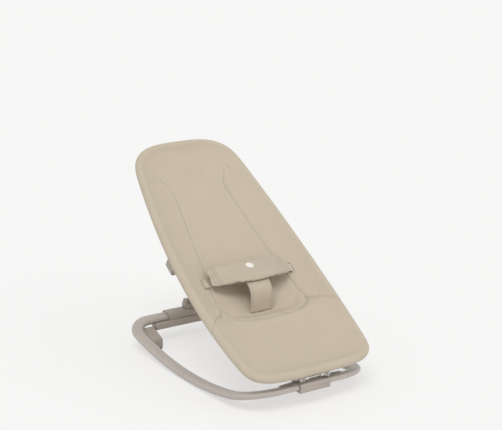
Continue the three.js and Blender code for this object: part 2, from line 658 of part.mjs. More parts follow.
function standPad() {
  const tipY = STAND_PIVOT_Y - STAND_REACH;
  return extrudeX(polygon([[tipY + 1, 1], [tipY + 2, 0], [tipY + 23, 0], [tipY + 24, 1], [tipY + 24, STAND_PAD],
    [tipY + 1, STAND_PAD]]), STAND_INNER_X + 2, STAND_INNER_X + STAND_WIDTH - 2);
}

function buildStandFoot(group, name, side) {
  const [arm, pad] = [standArm(), toGeometry(toSolid(standPad()))];
  addPart(group, `stand_foot_${name}`, side > 0 ? arm : mirrorX(arm), "plastic");
  addPart(group, `stand_pad_${name}`, side > 0 ? pad : mirrorX(pad), "rubber");
}

// ---- Seat-side hinge bracket: drawn along the seat (s, n) from the centre of the foot-end tube ----
function bracketMatrix() {
  return seatMatrix(RIM_OUTER);
}

function axleInBracket() {
  return new THREE.Vector3(0, AXLE_Y, AXLE_Z).applyMatrix4(bracketMatrix().invert());
}

function seatBracket() {
  const { y: axleS, z: axleN } = axleInBracket();
  const hub = AXLE_RADIUS + 4.5;
  const under = -SEAT_TUBE_RADIUS;
  const beam = extrudeX(polygon([[1.5, under - 1], [1.5, under - 5], [14, under - 6], [24, under], [24, under + 5],
    [10, under + 5]]), -BRACKET_WING, BRACKET_WING);
  const shape = new THREE.Shape();
  shape.moveTo(axleS + hub, axleN);
  shape.lineTo(24, under);
  shape.lineTo(24, under + 5);
  shape.lineTo(10, under + 5);
  shape.lineTo(1.5, under - 1);
  shape.lineTo(1.5, under - 5);
  shape.lineTo(axleS - hub, axleN);
  shape.absarc(axleS, axleN, hub, Math.PI, Math.PI * 2, false);
  const cheeks = [-1, 1].map((side) => extrudeX(shape, -4.25, 4.25).translate(side * (CHEEK_INNER + 4.25), 0, 0));
  const body = join(beam, ...cheeks).applyMatrix4(bracketMatrix());
  return cut(body, seatTubeRoom(), rodX(AXLE_RADIUS + RUNNING_GAP / 2, -60, 60, AXLE_Y, AXLE_Z));
}

// ---- Crossbar under the sling, which carries the support leg ----
const CROSSBAR = seatPoint(0, LEG_STATION, -CROSSBAR_DROP);
const TUBE_X = halfWidth(LEG_STATION) - RIM_OUTER;
const CROSSBAR_TIP = TUBE_X - 14;

function crossbarClamp() {
  const inner = TUBE_X - 34;
  const shape = polygon([[inner, -CROSSBAR_DROP - 12], [TUBE_X - 8, -CROSSBAR_DROP - 12],
    [TUBE_X - 2, -CROSSBAR_DROP - 4], [TUBE_X - 2, -8], [TUBE_X - 9, -3], [TUBE_X - 16, -8], [inner, -26]]);
  const block = extrudeY(shape, -CLAMP_LENGTH / 2, CLAMP_LENGTH / 2).applyMatrix4(seatMatrix(LEG_STATION));
  return cut(block, seatTubeRoom(),
    rodX(CROSSBAR_RADIUS + CLEARANCE, inner - 9, CROSSBAR_TIP + CLEARANCE, CROSSBAR.y, CROSSBAR.z));
}

function collar(inner) {
  return cut(rodX(CROSSBAR_RADIUS + 3, inner, inner + COLLAR_LENGTH, CROSSBAR.y, CROSSBAR.z),
    rodX(CROSSBAR_RADIUS + 0.1, inner - 9, inner + 29, CROSSBAR.y, CROSSBAR.z, 24));
}

// ---- Support leg: its own frame has the crossbar at the origin and -Z down the leg ----
const LEG_FOOT = new THREE.Vector3(0, BASE_REAR_Y, CRADLE_Z + CLEARANCE);
const LEG_LENGTH = LEG_FOOT.distanceTo(CROSSBAR);
const LEG_LEAN = Math.atan2(LEG_FOOT.y - CROSSBAR.y, CROSSBAR.z - LEG_FOOT.z);

function legMatrix() {
  return new THREE.Matrix4().makeRotationX(LEG_LEAN).setPosition(CROSSBAR.x, CROSSBAR.y, CROSSBAR.z);
}

function legKnuckle() {
  const barrel = rodX(KNUCKLE_RADIUS, -LEG_HALF_WIDTH, LEG_HALF_WIDTH, 0, 0, 24);
  const neck = rodZ(KNUCKLE_RADIUS - 1, -KNUCKLE_LENGTH, -4, 0, 0, 20);
  return cut(join(barrel, neck),
    rodX(CROSSBAR_RADIUS + RUNNING_GAP, -60, 60, 0, 0, 24),
    rodZ(LEG_TUBE_RADIUS + CLEARANCE, -KNUCKLE_LENGTH - 9, -KNUCKLE_RADIUS - 2, 0, 0, 20))
    .applyMatrix4(legMatrix());
}

function legTube() {
  const top = KNUCKLE_RADIUS + 2 + CLEARANCE;
  const bottom = LEG_LENGTH - FOOT_LENGTH + SOCKET_DEPTH - CLEARANCE;
  const shape = new THREE.Shape().absarc(0, 0, LEG_TUBE_RADIUS, 0, 2 * Math.PI, false);
  shape.holes.push(new THREE.Path().absarc(0, 0, LEG_TUBE_RADIUS - TUBE_WALL, 0, 2 * Math.PI, true));
  return new THREE.ExtrudeGeometry(shape, { depth: bottom - top, bevelEnabled: false, curveSegments: 8 })
    .translate(0, 0, -bottom).applyMatrix4(legMatrix());
}

/** A point given up the leg from the foot and behind its centre line, in the (y, z) plane. */
function alongLeg(up, behind) {
  return [LEG_FOOT.y - up * Math.sin(LEG_LEAN) + behind * Math.cos(LEG_LEAN),
    LEG_FOOT.z + up * Math.cos(LEG_LEAN) + behind * Math.sin(LEG_LEAN)];
}

function legFoot() {
  const half = KNUCKLE_RADIUS - 1;
  const shape = polygon([[LEG_FOOT.y - 12, LEG_FOOT.z], [LEG_FOOT.y + 12, LEG_FOOT.z],
    [LEG_FOOT.y + 12, LEG_FOOT.z + 8], alongLeg(FOOT_LENGTH, half), alongLeg(FOOT_LENGTH, -half),
    [LEG_FOOT.y - 12, LEG_FOOT.z + 6]]);
  const body = extrudeX(shape, -LEG_HALF_WIDTH, LEG_HALF_WIDTH);
  const socket = rodZ(LEG_TUBE_RADIUS + CLEARANCE, -LEG_LENGTH + FOOT_LENGTH - SOCKET_DEPTH,
    -LEG_LENGTH + FOOT_LENGTH + 9, 0, 0, 20).applyMatrix4(legMatrix());
  const boltBore = rodZ(BOLT_RADIUS + RUNNING_GAP / 2, LEG_FOOT.z - 9, LEG_FOOT.z + 13, 0, LEG_FOOT.y);
  return cut(body, socket, boltBore, buttonRod(BUTTON_RADIUS + RUNNING_GAP / 2, 2, 40));
}

/** A rod square to the leg at the button's height, between two distances behind the centre line. */
function buttonRod(radius, from, to) {
  return new THREE.CylinderGeometry(radius, radius, to - from, 18)
    .translate(0, (from + to) / 2, -LEG_LENGTH + BUTTON_RISE).applyMatrix4(legMatrix());
}

/** Button spring: a helix swept with a six-sided wire. */
function buttonSpring() {
  const [turns, perTurn, wire] = [3, 12, 0.6];
  const [from, to] = [2 + wire + 0.2, 7.5];
  const points = Array.from({ length: turns * perTurn + 1 }, (_, i) => {
    const angle = i / perTurn * 2 * Math.PI;
    return new THREE.Vector3(4 * Math.cos(angle), from + (to - from) * i / (turns * perTurn), 4 * Math.sin(angle));
  });
  const path = new GuidedPath(points, points.map(() => new THREE.Vector3(0, 1, 0)));
  return sweep(path, ellipsePoints(wire, wire, 6))
    .translate(0, 0, -LEG_LENGTH + BUTTON_RISE).applyMatrix4(legMatrix());
}

function buildSupportLeg(leg) {
  addPart(leg, "leg_knuckle", legKnuckle(), "plastic");
  addPart(leg, "leg_tube", legTube(), "tube");
  addPart(leg, "leg_foot", legFoot(), "plastic");
  addPart(leg, "button_spring", buttonSpring(), "steel");
  addPart(leg, "release_button", buttonRod(BUTTON_RADIUS, 8.5, 14 + BUTTON_TRAVEL), "pale_plastic");
  const bolt = rodZ(BOLT_RADIUS, LEG_FOOT.z - BOLT_REACH, LEG_FOOT.z + 8, 0, LEG_FOOT.y);
  addPart(leg, "latch_bolt", bolt, "steel");
}

// ---- Harness ----
/** Height of the belt's middle face: an arch whose lower edge stands furthest from the sling. */
function beltRise(x, s) {
  const middle = BELT_RISE.middle - BELT_RISE.tilt * (s - BELT_STATION);
  return THREE.MathUtils.lerp(middle, BELT_RISE.ends, Math.abs(x / BELT_HALF_LENGTH) ** 2.5);
}

/** A pad given by its outline over the sling, with a rounded edge and tapering ends. */
function beltPad() {
  const count = 28;
  const rings = [[0.02, 1], [0.5, 1], [0.85, 0.9], [0.97, 0.6], [1, 0], [0.97, -0.6], [0.85, -0.9], [0.5, -1],
    [0.02, -1]];
  const rows = rings.map(([share, height]) => Array.from({ length: count }, (_, i) => {
    const angle = i / count * 2 * Math.PI;
    const [cos, sin] = [Math.cos(angle), Math.sin(angle)];
    const x = share * BELT_HALF_LENGTH * Math.sign(cos) * Math.abs(cos) ** 0.55;
    const lower = BELT_EDGE.lower - BELT_EDGE.taper * (x / BELT_HALF_LENGTH) ** 2;
    const reach = sin > 0 ? BELT_EDGE.upper : lower;
    const s = BELT_STATION + share * reach * Math.sign(sin) * Math.abs(sin) ** 0.6;
    return seatPoint(x, s, beltRise(x, s) + height * BELT_THICKNESS / 2);
  }));
  const quads = [];
  for (let row = 0; row < rows.length - 1; row += 1) {
    for (let i = 0; i < count; i += 1) {
      const next = (i + 1) % count;
      quads.push([row * count + i, (row + 1) * count + i, (row + 1) * count + next, row * count + next]);
    }
  }
  const centreOf = (row) => row.reduce((sum, point) => sum.add(point), new THREE.Vector3()).divideScalar(count);
  const points = [...rows.flat(), centreOf(rows[0]), centreOf(rows[rows.length - 1])];
  const [top, bottom] = [points.length - 2, points.length - 1];
  const lastRow = (rows.length - 1) * count;
  for (let i = 0; i < count; i += 1) {
    const next = (i + 1) % count;
    quads.push([top, i, next, top], [bottom, lastRow + next, lastRow + i, bottom]);
  }
  return shellFromQuads(points, quads);
}

/** A flat strap swept along points in the seat's own (x, s, n) coordinates. */
function strap(stations, width, uprightOf) {
  const points = stations.map(([x, s, n]) => seatPoint(x, s, n));
  const uprights = stations.map((station, i) => uprightOf(station, i));
  const [w, t] = [width / 2, WEBBING_THICKNESS / 2];
  return sweep(new GuidedPath(points, uprights), [[-t, -w], [t, -w], [t, w], [-t, w]]);
}

function crotchStrap() {
  const below = (BELT_THICKNESS + WEBBING_THICKNESS) / 2 + 1.2;
  const underBelt = [318, 332, 346].map((s) => [0, s, beltRise(CROTCH_WIDTH / 2, s) - below]);
  const stations = [[0, 262, -42.7], [0, 267, -34], [0, 277, -14], [0, 290, 3], [0, 303, 9.5], ...underBelt];
  return strap(stations, CROTCH_WIDTH, ([, s]) => seatNormal(s));
}

const SLIDER_N = -33;

function sideStrap(side) {
  const start = BELT_HALF_LENGTH + CLEARANCE;
  const behind = SLIDER_N;
  const stations = [[start, BELT_RISE.ends], [SLOT_X - 7, -11.3], [SLOT_X - 2, -14.5],
    [SLOT_X, -20], [SLOT_X - 1.5, -27], [SLOT_X - 8, behind], [SLOT_X - 30, behind]];
  const path = stations.map(([x, n]) => [side * x, BELT_STATION, n]);
  const acrossDirection = new THREE.Vector3(...[0, 1, 0]).transformDirection(seatMatrix(BELT_STATION));
  const points = path.map(([x, s, n]) => seatPoint(x, s, n));
  const uprights = points.map((_, i) => {
    const along = points[Math.min(i + 1, points.length - 1)].clone().sub(points[Math.max(i - 1, 0)]).normalize();
    return new THREE.Vector3().crossVectors(acrossDirection, along);
  });
  return strap(path, WEBBING_WIDTH, (_, i) => uprights[i]);
}

/** Plastic slider behind the sling: a frame that the side strap's end lies in. */
function strapSlider(side) {
  const frame = new THREE.BoxGeometry(20, WEBBING_WIDTH + 9, 6);
  const window = new THREE.BoxGeometry(30, WEBBING_WIDTH + 1.4, WEBBING_THICKNESS + 1.4);
  return cut(frame, window).translate(side * (SLOT_X - 24), 0, SLIDER_N).applyMatrix4(seatMatrix(BELT_STATION));
}

/** Plain embroidered oval on the belt pad. */
function beltEmblem() {
  const shape = new THREE.Shape().absellipse(0, 0, 9, 6.5, 0, 2 * Math.PI, false);
  const station = BELT_STATION + 11;
  const face = beltRise(0, station) + BELT_THICKNESS / 2 + 2 * CLEARANCE;
  return new THREE.ExtrudeGeometry(shape, { depth: 1, bevelEnabled: false, curveSegments: 8 })
    .rotateX(-Math.atan(BELT_RISE.tilt)).translate(0, 0, face).applyMatrix4(seatMatrix(station));
}

function buildHarness(seat) {
  addPart(seat, "waist_belt", beltPad(), "fabric");
  addPart(seat, "crotch_strap", crotchStrap(), "fabric");
  addPart(seat, "belt_emblem", beltEmblem(), "emblem");
  [["left", -1], ["right", 1]].forEach(([name, side]) => {
    addPart(seat, `side_strap_${name}`, sideStrap(side), "webbing");
    addPart(seat, `strap_slider_${name}`, strapSlider(side), "plastic");
  });
}

function buildSeat(seat) {
  addPart(seat, "seat_tube", seatTube(), "tube");
  addPart(seat, "seat_cover", seatCover(), "fabric");
  addPart(seat, "seat_bracket", seatBracket(), "plastic");
  addPart(seat, "crossbar", rodX(CROSSBAR_RADIUS, -CROSSBAR_TIP, CROSSBAR_TIP, CROSSBAR.y, CROSSBAR.z), "tube");
  [["left", -1], ["right", 1]].forEach(([name, side]) => {
    const clamp = crossbarClamp();
    addPart(seat, `crossbar_clamp_${name}`, side > 0 ? clamp : mirrorX(clamp), "plastic");
    const ring = collar(LEG_HALF_WIDTH + RUNNING_GAP);
    addPart(seat, `leg_collar_${name}`, side > 0 ? ring : mirrorX(ring), "plastic");
  });
  buildHarness(seat);
}

function buildBase(base) {
  addPart(base, "base_tube", baseTube(), "tube");
  addPart(base, "floor_pad_left", floorPad(-1), "rubber");
  addPart(base, "floor_pad_right", floorPad(1), "rubber");
  buildFrontHinge(base);
  buildRearClamp(base);
}

function buildBouncer() {
  const bouncer = new THREE.Group();
  const [base, seat, leg, standLeft, standRight] = Array.from({ length: 5 }, () => new THREE.Group());
  buildBase(base);
  buildSeat(seat);
  buildSupportLeg(leg);
  buildStandFoot(standLeft, "left", -1);
  buildStandFoot(standRight, "right", 1);
  bouncer.add(base, seat, leg, standLeft, standRight);
  const box = new THREE.Box3().setFromObject(bouncer);
  const centre = box.getCenter(new THREE.Vector3());
  bouncer.position.set(-centre.x, -centre.y, -box.min.z);
  return bouncer;
}

export default buildBouncer();
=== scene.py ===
"""Looks of an infant bouncer seat: knitted sling, padded waist belt, coated tube and hinges."""

import json
import logging
import math
from dataclasses import dataclass, field
from enum import Enum
from typing import Optional, Sequence, Union

import bmesh
import bpy
import numpy as np
from mathutils import Matrix, Vector


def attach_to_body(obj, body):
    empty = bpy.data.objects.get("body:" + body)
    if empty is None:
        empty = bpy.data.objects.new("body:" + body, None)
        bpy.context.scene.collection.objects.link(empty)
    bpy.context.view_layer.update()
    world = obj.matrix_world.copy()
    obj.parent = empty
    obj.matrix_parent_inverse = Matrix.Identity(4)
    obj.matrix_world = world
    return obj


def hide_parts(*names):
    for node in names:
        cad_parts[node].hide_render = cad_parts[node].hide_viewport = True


LOG = logging.getLogger("bouncer")
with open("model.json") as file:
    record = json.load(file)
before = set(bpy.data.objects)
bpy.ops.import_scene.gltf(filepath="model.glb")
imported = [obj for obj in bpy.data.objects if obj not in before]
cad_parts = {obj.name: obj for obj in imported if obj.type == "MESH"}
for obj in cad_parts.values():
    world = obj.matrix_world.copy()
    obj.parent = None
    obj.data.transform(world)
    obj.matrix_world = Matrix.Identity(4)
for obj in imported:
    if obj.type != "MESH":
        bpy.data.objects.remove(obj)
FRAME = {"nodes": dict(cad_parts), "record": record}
MM = 0.001
ORIGIN_Y = 147.599
ORIGIN = np.array([0.0, ORIGIN_Y, 0.0])
FAR = 1e9
SPAN_STEPS = 24
THREAD_SIDES = 6
CAST_HEIGHT = 60.0
RIM_STEPS = (26, 150)
STITCH = 2.9
Colour = tuple[float, float, float]
Number = Union[float, "Socket"]


# --------------------------------------------------------------------------- shader expressions
class Socket:
    """A node socket that turns arithmetic into Math nodes."""

    def __init__(self, tree: bpy.types.NodeTree, socket: bpy.types.NodeSocket) -> None:
        """Wrap a socket.

        Args:
            tree: The node tree that the socket is in.
            socket: The output socket to wrap.
        """
        self.tree = tree
        self.socket = socket

    def _maths(self, operation: str, *values: Number) -> "Socket":
        """Add a Math node.

        Args:
            operation: The Math node's operation.
            *values: Numbers or sockets, in order.

        Returns:
            The node's result.
        """
        node = self.tree.nodes.new("ShaderNodeMath")
        node.operation = operation
        for slot, value in zip(node.inputs, values):
            if isinstance(value, Socket):
                self.tree.links.new(value.socket, slot)
            else:
                slot.default_value = value
        return Socket(self.tree, node.outputs[0])

    def __add__(self, other: Number) -> "Socket":
        """Sum.

        Args:
            other: A number or a socket.

        Returns:
            The result.
        """
        return self._maths("ADD", self, other)

    def __radd__(self, other: Number) -> "Socket":
        """Reflected sum.

        Args:
            other: A number or a socket.

        Returns:
            The result.
        """
        return self._maths("ADD", other, self)

    def __sub__(self, other: Number) -> "Socket":
        """Difference.

        Args:
            other: A number or a socket.

        Returns:
            The result.
        """
        return self._maths("SUBTRACT", self, other)

    def __rsub__(self, other: Number) -> "Socket":
        """Reflected difference.

        Args:
            other: A number or a socket.

        Returns:
            The result.
        """
        return self._maths("SUBTRACT", other, self)

    def __mul__(self, other: Number) -> "Socket":
        """Product.

        Args:
            other: A number or a socket.

        Returns:
            The result.
        """
        return self._maths("MULTIPLY", self, other)

    def __rmul__(self, other: Number) -> "Socket":
        """Reflected product.

        Args:
            other: A number or a socket.

        Returns:
            The result.
        """
        return self._maths("MULTIPLY", other, self)

    def __pow__(self, other: Number) -> "Socket":
        """Power.

        Args:
            other: A number or a socket.

        Returns:
            The result.
        """
        return self._maths("POWER", self, other)

    def sine(self) -> "Socket":
        """Sine of the value in radians."""
        return self._maths("SINE", self)

    def absolute(self) -> "Socket":
        """Value without its sign."""
        return self._maths("ABSOLUTE", self)

    def larger(self, other: Number) -> "Socket":
        """The larger of two values.

        Args:
            other: A number or a socket.

        Returns:
            The result.
        """
        return self._maths("MAXIMUM", self, other)


class ShaderGraph:
    """One material's node tree with its Principled shader."""

    def __init__(self, name: str) -> None:
        """Make a material.

        Args:
            name: The material's name.
        """
        self.material = bpy.data.materials.new(name)
        self.material.use_nodes = True
        self.tree = self.material.node_tree
        self.shader = self.tree.nodes["Principled BSDF"]

    def node(self, kind: str, settings: Optional[dict] = None, sockets: Optional[dict] = None,
             output: Union[int, str] = 0) -> Socket:
        """Add any node.

        Args:
            kind: The node's type name.
            settings: Attributes set before the sockets; "stops" fills a colour ramp.
            sockets: Input names or numbers with values or sockets.
            output: The output to return.

        Returns:
            The chosen output.
        """
        node = self.tree.nodes.new(kind)
        for key, value in (settings or {}).items():
            if key == "stops":
                self._fill_ramp(node.color_ramp, value)
            else:
                setattr(node, key, value)
        for key, value in (sockets or {}).items():
            if isinstance(value, Socket):
                self.tree.links.new(value.socket, node.inputs[key])
            else:
                node.inputs[key].default_value = value
        return Socket(self.tree, node.outputs[output])

    @staticmethod
    def _fill_ramp(ramp: bpy.types.ColorRamp, stops: Sequence[tuple[float, float]]) -> None:
        """Set a ramp's stops.

        Args:
            ramp: The colour ramp.
            stops: Positions with grey levels, in order.
        """
        for index, (position, level) in enumerate(stops):
            stop = ramp.elements[index] if index < 2 else ramp.elements.new(position)
            stop.position = position
            stop.color = (level, level, level, 1)

    def fixed(self, **values: Union[float, Colour]) -> None:
        """Set constants on the shader's own sockets.

        Args:
            **values: Socket names with underscores for spaces.
        """
        for key, value in values.items():
            name = key.replace("_", " ")
            level = (*value, 1) if isinstance(value, tuple) else value
            self.shader.inputs[name].default_value = level

    def drive(self, name: str, value: Socket) -> None:
        """Link a varying value to one of the shader's sockets.

        Args:
            name: The shader's socket.
            value: What feeds it.
        """
        self.tree.links.new(value.socket, self.shader.inputs[name])

    def place(self) -> Socket:
        """Object coordinates in metres."""
        return self.node("ShaderNodeTexCoord", output="Object")

    def attribute(self, name: str, output: str = "Fac") -> Socket:
        """A value stored on the mesh.

        Args:
            name: The attribute's name.
            output: Fac for a number, Vector for a vector.

        Returns:
            The attribute's output.
        """
        return self.node("ShaderNodeAttribute", {"attribute_name": name}, output=output)

    def noise(self, scale: float, detail: float = 2, vector: Optional[Socket] = None) -> Socket:
        """Cloud noise over the object's coordinates.

        Args:
            scale: Cells in a metre.
            detail: Octaves.
            vector: Coordinates, or the object's own.

        Returns:
            A value around a half.
        """
        return self.node("ShaderNodeTexNoise", None,
                         {"Scale": scale, "Detail": detail, "Vector": vector or self.place()})

    def blend(self, low: Union[Colour, Socket], high: Union[Colour, Socket],
              factor: Socket) -> Socket:
        """Mix two colours.

        Args:
            low: The colour at a factor of 0.
            high: The colour at a factor of 1.
            factor: The mixing factor.

        Returns:
            The mixed colour.
        """
        sockets = {0: factor, 6: low if isinstance(low, Socket) else (*low, 1),
                   7: high if isinstance(high, Socket) else (*high, 1)}
        return self.node("ShaderNodeMix", {"data_type": "RGBA"}, sockets, output=2)

    def relief(self, height: Socket, distance: float, strength: float = 1.0) -> None:
        """Raise the surface by a height.

        Args:
            height: The height, from 0 to 1.
            distance: The height of 1, in metres.
            strength: How much of it shows.
        """
        bump = self.node("ShaderNodeBump", None,
                         {"Height": height, "Distance": distance, "Strength": strength})
        self.drive("Normal", bump)


def linear(red: float, green: float, blue: float) -> Colour:
    """Turn display levels into linear ones.

    Args:
        red: Red, from 0 to 255.
        green: Green, from 0 to 255.
        blue: Blue, from 0 to 255.

    Returns:
        The linear colour.
    """
    return tuple((level / 255 / 12.92) if level <= 10 else ((level / 255 + 0.055) / 1.055) ** 2.4
                 for level in (red, green, blue))


def shade(colour: Colour, share: float) -> Colour:
    """A colour made darker or lighter.

    Args:
        colour: The colour.
        share: What it is multiplied by.

    Returns:
        The new colour.
    """
    return tuple(min(1.0, level * share) for level in colour)


# --------------------------------------------------------------------------- finishes
SAND = linear(199, 187, 168)
POWDER_GREY = linear(184, 176, 168)
TAUPE = linear(172, 161, 152)
CREAM = linear(232, 228, 220)
CHARCOAL = linear(84, 79, 76)


@dataclass(frozen=True)
class KnitFinish:
    """Fine warp knit: rows of small loops, a soft mottle, a light fuzz, and painted shade in the loop
    valleys and along the seams.

    Attributes:
        name: The material's name.
        colour: The yarn's colour.
        stitches: Loops in a metre.
        depth: The loops' height, in metres.
        mottle: How much the yarn's tone wanders.
    """

    name: str = "sand_knit"
    colour: Colour = SAND
    stitches: float = 620.0
    depth: float = 0.00028
    mottle: float = 0.07

    def material(self) -> bpy.types.Material:
        """Build the material."""
        graph = ShaderGraph(self.name)
        across, along, _ = self._axes(graph)
        wobble = graph.noise(90, 2) * 1.6
        loops = ((across * self.stitches * 2 * math.pi) + wobble).sine().absolute()
        rows = ((along * self.stitches * 1.5 * math.pi) + loops * 1.2).sine().absolute()
        height = loops * 0.55 + rows * 0.45
        cloud = graph.noise(16, 3)
        grain = graph.noise(420, 2)
        tone = cloud * 0.65 + grain * 0.35
        dark, light = shade(self.colour, 1 - self.mottle), shade(self.colour, 1 + self.mottle)
        base = graph.blend(dark, light, tone)
        # Painted shade: the colour is darker in the deepest valleys between the knit loops.
        valley_shaded = graph.blend(shade(self.colour, 0.72), base, height ** 0.45)
        # Painted shade along the seams and stitched lines, read from the attribute that mark_cloth
        # stores.
        seam_shade = graph.attribute("seam_shade")
        seam_shaded = graph.blend(valley_shaded, shade(self.colour, 0.45), seam_shade * 0.4)
        graph.drive("Base Color", seam_shaded)
        graph.drive("Roughness", 0.98 - height * 0.12)
        graph.fixed(Sheen_Weight=0.12, Sheen_Roughness=0.45, Sheen_Tint=(0.95, 0.92, 0.88),
                    Specular_IOR_Level=0.18)
        graph.relief(height * 0.8 + grain * 0.2, self.depth, 0.75)
        return graph.material

    @staticmethod
    def _axes(graph: ShaderGraph) -> tuple[Socket, Socket, Socket]:
        """Cloth directions in metres.

        Args:
            graph: The material being built.

        Returns:
            The value across the cloth, the one along it, and its height.
        """
        vector = graph.attribute("cloth", "Vector")
        node = graph.tree.nodes.new("ShaderNodeSeparateXYZ")
        graph.tree.links.new(vector.socket, node.inputs[0])
        return tuple(Socket(graph.tree, output) for output in node.outputs)


@dataclass(frozen=True)
class WebbingFinish:
    """Narrow woven tape with a herringbone rib.

    Attributes:
        name: The material's name.
        colour: The yarn's colour.
        ribs: Ribs in a metre.
    """

    name: str = "sand_webbing"
    colour: Colour = shade(SAND, 0.93)
    ribs: float = 480.0

    def material(self) -> bpy.types.Material:
        """Build the material."""
        graph = ShaderGraph(self.name)
        across, along, _ = KnitFinish._axes(graph)
        chevron = (across * 260).sine().absolute() * 1.8
        rib = ((along * self.ribs * 2 * math.pi) + chevron).sine() * 0.5 + 0.5
        warp = ((across * self.ribs * 3 * math.pi)).sine() * 0.5 + 0.5
        height = rib * 0.7 + warp * 0.3
        # Painted shade: the rib valleys are darker and the crests lighter.
        dark, light = shade(self.colour, 0.78), shade(self.colour, 1.05)
        graph.drive("Base Color", graph.blend(dark, light, height))
        graph.drive("Roughness", 0.92 - height * 0.15)
        graph.fixed(Sheen_Weight=0.2, Sheen_Roughness=0.4, Specular_IOR_Level=0.2)
        graph.relief(height, 0.0003, 0.8)
        return graph.material


@dataclass(frozen=True)
class ThreadFinish:
    """Twisted polyester sewing thread.

    Attributes:
        name: The material's name.
        colour: The thread's colour.
        twist: Turns in a metre.
    """

    name: str = "sewing_thread"
    colour: Colour = shade(SAND, 1.05)
    twist: float = 900.0

    def material(self) -> bpy.types.Material:
        """Build the material."""
        graph = ShaderGraph(self.name)
        grain = graph.noise(self.twist, 1)
        dark, light = shade(self.colour, 0.8), shade(self.colour, 1.1)
        graph.drive("Base Color", graph.blend(dark, light, grain))
        graph.drive("Roughness", 0.5 + grain * 0.25)
        graph.fixed(Sheen_Weight=0.3, Specular_IOR_Level=0.35)
        graph.relief(grain, 0.0001, 0.6)
        return graph.material


@dataclass(frozen=True)
class PowderCoatFinish:
    """Satin powder coat on bent tube: fine orange peel and a painted highlight on the edges.

    Attributes:
        name: The material's name.
        colour: The paint's colour.
    """

    name: str = "powder_coat"
    colour: Colour = POWDER_GREY

    def material(self) -> bpy.types.Material:
        """Build the material."""
        graph = ShaderGraph(self.name)
        peel = graph.noise(900, 2)
        haze = graph.noise(9, 3)
        edge = graph.node("ShaderNodeNewGeometry", output="Pointiness")
        # Painted highlight: the colour is lighter on convex edges.
        edge_highlight = graph.node("ShaderNodeValToRGB", {"stops": [(0.52, 0.0), (0.6, 1.0)]}, {0: edge})
        tone = graph.blend(shade(self.colour, 0.95), shade(self.colour, 1.04), haze)
        graph.drive("Base Color", graph.blend(tone, shade(self.colour, 1.12), edge_highlight * 0.35))
        graph.drive("Roughness", 0.34 + peel * 0.14 + haze * 0.06)
        graph.fixed(Metallic=0.12, Coat_Weight=0.15, Coat_Roughness=0.3, Specular_IOR_Level=0.5)
        graph.relief(peel, 0.00006, 0.5)
        return graph.material


@dataclass(frozen=True)
class MouldedFinish:
    """Injection-moulded plastic with a spark-eroded texture.

    Attributes:
        name: The material's name.
        colour: The plastic's colour.
        rough: The middle of its roughness.
        pits: Texture pits in a metre.
    """

    name: str
    colour: Colour
    rough: float = 0.56
    pits: float = 1500.0

    def material(self) -> bpy.types.Material:
        """Build the material."""
        graph = ShaderGraph(self.name)
        pits = graph.noise(self.pits, 2)
        flow = graph.noise(22, 3)
        edge = graph.node("ShaderNodeNewGeometry", output="Pointiness")
        # Painted highlight: the colour is lighter on convex edges, which are also a little smoother.
        edge_highlight = graph.node("ShaderNodeValToRGB", {"stops": [(0.53, 0.0), (0.64, 1.0)]}, {0: edge})
        dark, light = shade(self.colour, 0.93), shade(self.colour, 1.05)
        tone = graph.blend(dark, light, flow * 0.6 + pits * 0.4)
        graph.drive("Base Color", graph.blend(tone, shade(self.colour, 1.25), edge_highlight * 0.4))
        graph.drive("Roughness", self.rough - 0.08 + pits * 0.16 - edge_highlight * 0.1)
        graph.fixed(Specular_IOR_Level=0.42)
        graph.relief(pits, 0.00008, 0.6)
        return graph.material


@dataclass(frozen=True)
class RubberFinish:
    """Soft dark rubber with a dusty bloom.

    Attributes:
        name: The material's name.
        colour: The rubber's colour.
    """

    name: str = "grip_rubber"
    colour: Colour = CHARCOAL

    def material(self) -> bpy.types.Material:
        """Build the material."""
        graph = ShaderGraph(self.name)
        bloom = graph.noise(60, 4)
        grit = graph.noise(1800, 1)
        dark, light = shade(self.colour, 0.85), shade(self.colour, 1.25)
        graph.drive("Base Color", graph.blend(dark, light, bloom))
        graph.drive("Roughness", 0.78 + bloom * 0.15)
        graph.fixed(Specular_IOR_Level=0.3)
        graph.relief(grit, 0.0001, 0.5)
        return graph.material


@dataclass(frozen=True)
class PlatedFinish:
    """Bright zinc plating with fine drawn lines.

    Attributes:
        name: The material's name.
        colour: The metal's colour.
    """

    name: str = "plated_steel"
    colour: Colour = linear(205, 204, 200)

    def material(self) -> bpy.types.Material:
        """Build the material."""
        graph = ShaderGraph(self.name)
        scratch = graph.noise(700, 3)
        cloud = graph.noise(40, 2)
        graph.drive("Base Color", graph.blend(shade(self.colour, 0.82), self.colour, cloud))
        graph.drive("Roughness", 0.2 + scratch * 0.2)
        graph.fixed(Metallic=0.95, Specular_IOR_Level=0.5)
        graph.relief(scratch, 0.00004, 0.5)
        return graph.material


class Finish(Enum):
    """The finishes that the pieces share."""

    KNIT = KnitFinish()
    BELT_KNIT = KnitFinish(name="belt_knit", colour=shade(SAND, 0.96), stitches=700.0)
    WEBBING = WebbingFinish()
    THREAD = ThreadFinish()
    EMBROIDERY = ThreadFinish(name="emblem_thread", colour=linear(240, 236, 228), twist=1400.0)
    POWDER_COAT = PowderCoatFinish()
    TAUPE_PLASTIC = MouldedFinish("taupe_plastic", TAUPE)
    PALE_PLASTIC = MouldedFinish("pale_plastic", CREAM, rough=0.42)
    RUBBER = RubberFinish()
    STEEL = PlatedFinish()


